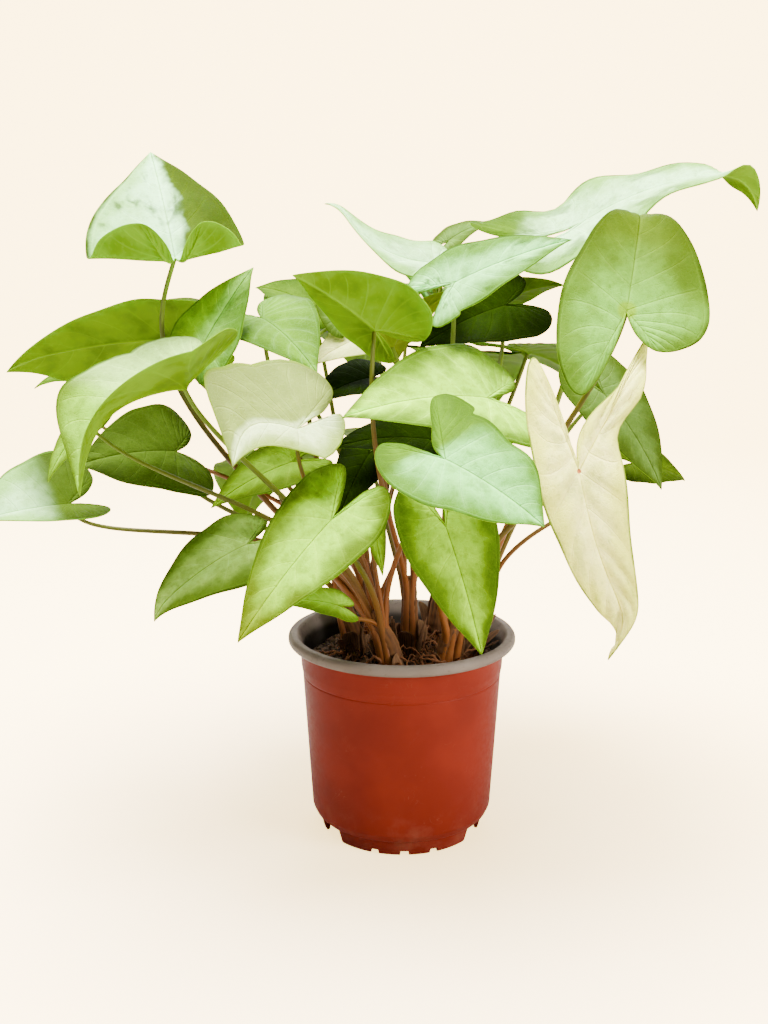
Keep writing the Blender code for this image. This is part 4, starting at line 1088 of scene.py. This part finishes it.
def rings_of(profile, angle):
    """Points of a profile of (radius, height), turned about Z to each angle."""
    radius, height = profile[:, 0, None], np.repeat(profile[:, 1, None], len(angle), 1)
    return np.stack([radius * np.cos(angle), radius * np.sin(angle), height], -1).reshape(-1, 3)


def soil_height(x, y):
    """Loose soil: low humps, sinking a little towards the wall, and crumbs as sums of short sine waves."""
    radius = np.hypot(x, y) / 0.051
    humps = 0.0011 * np.sin(190 * x + 1.3) * np.cos(230 * y) + 0.0007 * np.sin(410 * x - 260 * y)
    crumbs = sum(0.00030 * np.sin(a * x + b * y + c) for a, b, c in SOIL_WAVES)
    return SOIL_TOP + (humps + crumbs) * smooth((1.05 - radius) / 0.3) - SOIL_SINK * radius**3


def soil(finish):
    """Body of the soil: a fine disc of rings with the height above, closed by the inside of the pot below it."""
    radii = np.linspace(0, SOIL_RADIUS, SOIL_RINGS)[1:]
    angle = np.linspace(0, 2 * np.pi, SOIL_SIDES, endpoint=False)
    x, y = radii[:, None] * np.cos(angle), radii[:, None] * np.sin(angle)
    top = np.stack([x, y, soil_height(x, y)], -1).reshape(-1, 3)
    low = rings_of(np.array(SOIL_WALL), angle)
    points = np.concatenate([top, low, [(0, 0, soil_height(0.0, 0.0)), (0, 0, SOIL_WALL[-1][1])]])
    rings = len(radii) + len(SOIL_WALL)
    wall = halved(*ring_cells(rings, SOIL_SIDES))[:, [0, 2, 1]]
    centre = end_fan(len(points) - 2, 0, SOIL_SIDES)
    floor = end_fan(len(points) - 1, (rings - 1) * SOIL_SIDES, SOIL_SIDES)[:, [0, 2, 1]]
    return new_piece("soil_body", points, np.concatenate([wall, centre, floor]), [finish], "soil")


def lumps(name, count, sizes, seed_number, finish, spread):
    """Loose bits: rounded blocks, each stretched, turned and laid on the soil at a random place."""
    seed = np.random.default_rng(seed_number)
    spots_of = [spot for spot in itertools.product((-1, 0, 1), repeat=3) if any(spot)]
    names = {spot: i for i, spot in enumerate(spots_of)}
    block = np.array(spots_of, float)
    block /= np.linalg.norm(block, axis=1)[:, None] ** 0.6
    tri = []
    for axis, sign, p, q in itertools.product(range(3), (-1, 1), (-1, 0), (-1, 0)):
        cell = [names[tuple(np.roll((sign, p + right, q + up), axis).tolist())]
                for right, up in ((0, 0), (1, 0), (1, 1), (0, 1))]
        a, b, c, d = cell[::sign]
        tri += [(a, b, c), (a, c, d)]
    tri = np.array(tri)
    shape = block[None] * (1 + seed.uniform(-0.28, 0.28, (count, len(block), 1)))
    shape = shape * seed.uniform(sizes[0], sizes[1], (count, 1, 3))
    turn = np.linalg.qr(seed.normal(size=(count, 3, 3)))[0]
    turn *= np.sign(np.linalg.det(turn))[:, None, None]
    shape = shape @ turn
    radius = SOIL_RADIUS * spread * np.sqrt(seed.uniform(0, 1, count))
    angle = seed.uniform(0, 2 * np.pi, count)
    x, y = radius * np.cos(angle), radius * np.sin(angle)
    place = np.stack([x, y, soil_height(x, y) + seed.uniform(-0.0003, 0.0010, count)], 1)
    points = (shape + place[:, None]).reshape(-1, 3)
    faces = (tri[None] + np.arange(count)[:, None, None] * len(block)).reshape(-1, 3)
    return new_piece(name, points, faces, [finish])


def roots(finish):
    """Dry roots and stalk stumps on the soil: thin tubes that leave a crown and wander over the ground."""
    seed = np.random.default_rng(7)
    feet = [np.array(stem["foot"]) / 1000 for stem in STEMS.values()]
    parts = []
    for k in range(ROOTS):
        foot = feet[k % len(feet)]
        angle = seed.uniform(0, 2 * np.pi)
        reach = seed.uniform(0.008, 0.026)
        t = np.linspace(0, 1, 22)
        swing = angle + seed.uniform(-1.2, 1.2) * t + 0.4 * np.sin(t * seed.uniform(4, 9))
        radius = 0.004 + reach * t
        x, y = foot[0] + radius * np.cos(swing), foot[1] + radius * np.sin(swing)
        far = np.maximum(np.hypot(x, y) / 0.0490, 1)
        x, y = x / far, y / far
        arch = seed.uniform(0.001, 0.009) * np.sin(np.pi * t) ** 1.5 + 0.006 * (1 - t) ** 3
        z = soil_height(x, y) + 0.0003 + arch
        thick = seed.uniform(0.0003, 0.0010) * (1 - 0.6 * t)
        points, tri, corner = tube(np.stack([x, y, z], 1), thick, 8, side=np.array([0, 0, 1.0]))
        parts.append((points, tri, corner))
    points, tri, corner = joined(parts)
    return new_piece("stem_roots", points, tri, [finish], None, dict(along=corner))


def husks(finish):
    """Dead sheaths round the crowns: narrow strips that are hollow across, wrap a stem and peel off at the top."""
    seed = np.random.default_rng(11)
    feet = list(STEMS.values())
    parts = []
    u, v = np.meshgrid(np.linspace(0, 1, 16), np.linspace(-1, 1, 9), indexing="ij")
    for k in range(HUSKS):
        stem = feet[k % len(feet)]
        path = stem_path(stem)
        angle = seed.uniform(0, 2 * np.pi)
        height = seed.uniform(0.010, 0.030)
        width = seed.uniform(0.35, 0.75)
        peel = seed.uniform(0.001, 0.009)
        narrow = np.sin(np.pi * (0.18 + 0.80 * u)) ** 0.7
        around = angle + v * width * narrow + 0.3 * u
        reach = 0.0070 + 0.0012 * np.sin(3 * u + k) + peel * u**2.5
        axis = path[1] + (path[-1] - path[1]) * 0.6 * u[..., None]
        z = SOIL_TOP - 0.002 + height * u - 0.25 * peel * u**3
        middle = np.stack([axis[..., 0] + reach * np.cos(around), axis[..., 1] + reach * np.sin(around), z], -1)
        out = np.stack([np.cos(around), np.sin(around), 0 * u], -1)
        points = np.concatenate([(middle + side * HUSK_HALF * out).reshape(-1, 3) for side in (1, -1)])
        index = np.arange(u.size).reshape(u.shape)
        a, b, c, d = grid_cells(index)
        tri = halved(a, d, c, b)
        loop = np.concatenate([index[:, 0], index[-1, 1:], index[-2::-1, -1], index[0, -2:0:-1]])
        x, y = loop, np.roll(loop, -1)
        count = u.size
        rim = np.concatenate([np.stack([x, y, y + count], 1), np.stack([x, y + count, x + count], 1)])
        tri = np.concatenate([tri, tri[:, ::-1] + count, rim])
        spot = np.stack([v.ravel() * 0.5 + 0.5, u.ravel() * height], 1)
        parts.append((points, tri, np.concatenate([spot, spot])[tri.ravel()]))
    points, tri, corner = joined(parts)
    return new_piece("stem_husks", points, tri, [finish], None, dict(along=corner))


def boolean(target, cutters):
    """Cuts every object of a list from a piece at once, applies it and removes them."""
    group = bpy.data.collections.new(target.name + "_tools")
    bpy.context.scene.collection.children.link(group)
    for cutter in cutters:
        bpy.context.scene.collection.objects.unlink(cutter)
        group.objects.link(cutter)
    step = target.modifiers.new("Boolean", "BOOLEAN")
    step.operation = "DIFFERENCE"
    step.operand_type = "COLLECTION"
    step.collection = group
    step.solver = "EXACT"
    bpy.context.view_layer.update()
    done = bpy.data.meshes.new_from_object(target.evaluated_get(bpy.context.evaluated_depsgraph_get()))
    target.modifiers.remove(step)
    target.data = done
    for cutter in cutters:
        bpy.data.objects.remove(cutter)
    bpy.data.collections.remove(group)


def rounded(profile, cut):
    """Each corner of a profile becomes a parabola between two points, at most cut away from the corner."""
    profile = np.asarray(profile, float)
    made = [profile[0]]
    for before, corner, after in zip(profile[:-2], profile[1:-1], profile[2:]):
        back, ahead = before - corner, after - corner
        a = corner + back * min(cut / np.linalg.norm(back), 0.42)
        b = corner + ahead * min(cut / np.linalg.norm(ahead), 0.42)
        for t in (0, 0.25, 0.5, 0.75, 1):
            made.append((1 - t) ** 2 * a + 2 * (1 - t) * t * corner + t**2 * b)
    made.append(profile[-1])
    return np.array(made)


def turned(profile, sides):
    """Points and faces of a profile of (radius, height) turned about Z. Both ends close on the axis."""
    angle = np.arange(sides) * 2 * math.pi / sides
    points = np.concatenate([rings_of(profile, angle), [(0, 0, profile[0][1]), (0, 0, profile[-1][1])]])
    quads = np.stack(ring_cells(len(profile), sides), -1).reshape(-1, 4)
    first = end_fan(len(points) - 2, 0, sides)[:, [0, 2, 1]]
    last = end_fan(len(points) - 1, (len(profile) - 1) * sides, sides)
    return points, quads.tolist() + first.tolist() + last.tolist()


def cutter_block(high, middle, half, chamfer):
    """A block that cuts the foot ring, from under the floor up to high, over half an angle each way."""
    points = []
    for z, part in ((-0.002, half), (high, half - chamfer)):
        for radius in (CUT_INSIDE, CUT_OUTSIDE):
            points += [(radius * math.cos(middle + s * part), radius * math.sin(middle + s * part), z) for s in (-1, 1)]
    faces = [(0, 1, 3, 2), (4, 6, 7, 5), (0, 4, 5, 1), (2, 3, 7, 6), (0, 2, 6, 4), (1, 5, 7, 3)]
    return linked("cutter", points, faces)


def pot(finish):
    """The pot: its profile turned finely about Z, with the part's own notches, gaps and drain holes cut."""
    profile = rounded([(r / 1000, z / 1000) for r, z in POT_OUTSIDE_MM + POT_INSIDE_MM], CORNER_CUT)
    points, faces = turned(profile, POT_SIDES)
    body = new_piece("pot_body", points, faces, [finish], "pot")
    cutters = []
    front = -math.pi / 2 + FOOT_TURN
    for foot in range(3):
        middle = front + foot * 2 * math.pi / 3
        cutters.append(cutter_block(FOOT_GAP_HEIGHT, middle + math.pi / 3, FOOT_GAP / 2, 0.03))
        for k in (-1, 0, 1):
            at = middle + k * NOTCH_STEP
            cutters.append(cutter_block(NOTCH_HEIGHT, at, NOTCH_WIDTH / 2, 0.02))
    for hole in range(DRAIN_HOLES):
        angle = hole * 2 * math.pi / DRAIN_HOLES
        spot = np.array([DRAIN_RING * math.cos(angle), DRAIN_RING * math.sin(angle), 0.005])
        points, tri, _ = tube(np.linspace(spot, spot + (0, 0, 0.008), 2), [DRAIN_RADIUS] * 2, 24)
        cutters.append(linked("cutter", points, tri))
    boolean(body, cutters)
    body.data.shade_smooth()
    body.data.set_sharp_from_angle(angle=math.radians(38))
    return body


# Stage


def stage():
    """A pale floor that rises into a backdrop, a soft sky and three soft lights.

    The floor glows for the camera only, and less near the pot, which paints a shadow round the pot's foot.
    """
    count = 40
    turn = np.linspace(0, math.pi / 2, count)
    bend_line = np.stack([BACKDROP_AT + BACKDROP_BOW * np.sin(turn), BACKDROP_BOW * (1 - np.cos(turn))], 1)
    line = np.concatenate([[(FLOOR_FRONT, 0.0)], bend_line, [(BACKDROP_AT + BACKDROP_BOW, BACKDROP_TOP)]])
    points = np.concatenate([np.insert(line, 0, -FLOOR_HALF, axis=1), np.insert(line, 0, FLOOR_HALF, axis=1)])
    m = len(line)
    i = np.arange(m - 1)
    faces = np.stack([i, i + m, i + 1 + m, i + 1], 1)
    floor = linked("floor", points, faces)
    graph = Graph("floor_paper")
    place = graph.node("TexCoord").outputs["Object"]
    colour = graph.mix(FLOOR_COLOUR, FLOOR_CLOUD, graph.noise(place, 3.0))
    # Painted shadow: the floor's glow is weaker near the pot's foot.
    away = graph.node("VectorMath", {0: place}, operation="LENGTH").outputs["Value"]
    glow_with_painted_shadow = graph.ramp(away, PAINTED_SHADOW_INNER, PAINTED_SHADOW_OUTER, GLOW_IN_PAINTED_SHADOW, GLOW_MOST)
    glow_with_painted_shadow = graph.times(glow_with_painted_shadow, graph.node("LightPath").outputs["Is Camera Ray"])
    floor.data.materials.append(graph.finish(colour, 0.9, Specular_IOR_Level=0.1, Emission_Color=GLOW_COLOUR,
                                             Emission_Strength=glow_with_painted_shadow))
    floor.data.shade_smooth()

    world = bpy.data.worlds.new("sky")
    bpy.context.scene.world = world
    world.use_nodes = True
    world.node_tree.nodes["Background"].inputs[0].default_value = SKY_COLOUR
    world.node_tree.nodes["Background"].inputs[1].default_value = SKY_STRENGTH
    for name, place, aim, size, power, colour in LIGHTS:
        data = bpy.data.lights.new(name, "AREA")
        data.shape = "SQUARE"
        data.size = size
        data.energy = power
        data.color = colour
        lamp = bpy.data.objects.new(name, data)
        lamp.location = place
        lamp.rotation_euler = (Vector(aim) - Vector(place)).to_track_quat("-Z", "Y").to_euler()
        bpy.context.scene.collection.objects.link(lamp)


def camera():
    """The photo's angle: in front, a little higher than the middle of the plant, looking slightly down."""
    data = bpy.data.cameras.new("camera")
    data.lens = CAMERA_LENS
    data.sensor_width = CAMERA_SENSOR
    made = bpy.data.objects.new("camera", data)
    made.location = CAMERA_PLACE
    made.rotation_euler = (math.pi / 2 - CAMERA_DOWN, 0, 0)
    bpy.context.scene.collection.objects.link(made)
    bpy.context.scene.camera = made


def main():
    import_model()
    leaves = [Leaf(row) for row in LEAVES]
    routes = route_stalks(leaves, STEMS)
    uppers = {key: leaf_upper("leaf_top_" + key, **look) for key, look in LOOKS.items()}
    unders = {key: leaf_under("leaf_back_" + key, colour) for key, colour in BACKS.items()}
    for leaf in leaves:
        own = OWN_LOOKS.get(leaf.number)
        upper = uppers[leaf.colour]
        if own:
            upper = leaf_upper(f"leaf_top_{leaf.number:02}", **{**LOOKS[leaf.colour], **own})
        blade(leaf, upper, unders[leaf.colour])
    skin = stalk_finish()
    bark = husk_finish("crown_bark", *CROWN_BARK)
    for key, stem in STEMS.items():
        stalks_of(key, stem, leaves, routes, skin)
        crown(key, stem, bark)
    soil(soil_finish("soil_peat", *PEAT, 0.6))
    lumps("soil_crumbs", CRUMBS, CRUMB_SIZES, 3, soil_finish("soil_crumb", *CRUMB, 0.7), 0.97)
    lumps("soil_chips", CHIPS, CHIP_SIZES, 5, soil_finish("soil_chip", *CHIP, 0.6), 0.94)
    roots(husk_finish("root_skin", *ROOT_SKIN))
    husks(husk_finish("husk_paper", *HUSK_PAPER))
    pot(pot_finish())
    stage()
    camera()
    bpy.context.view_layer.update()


main()
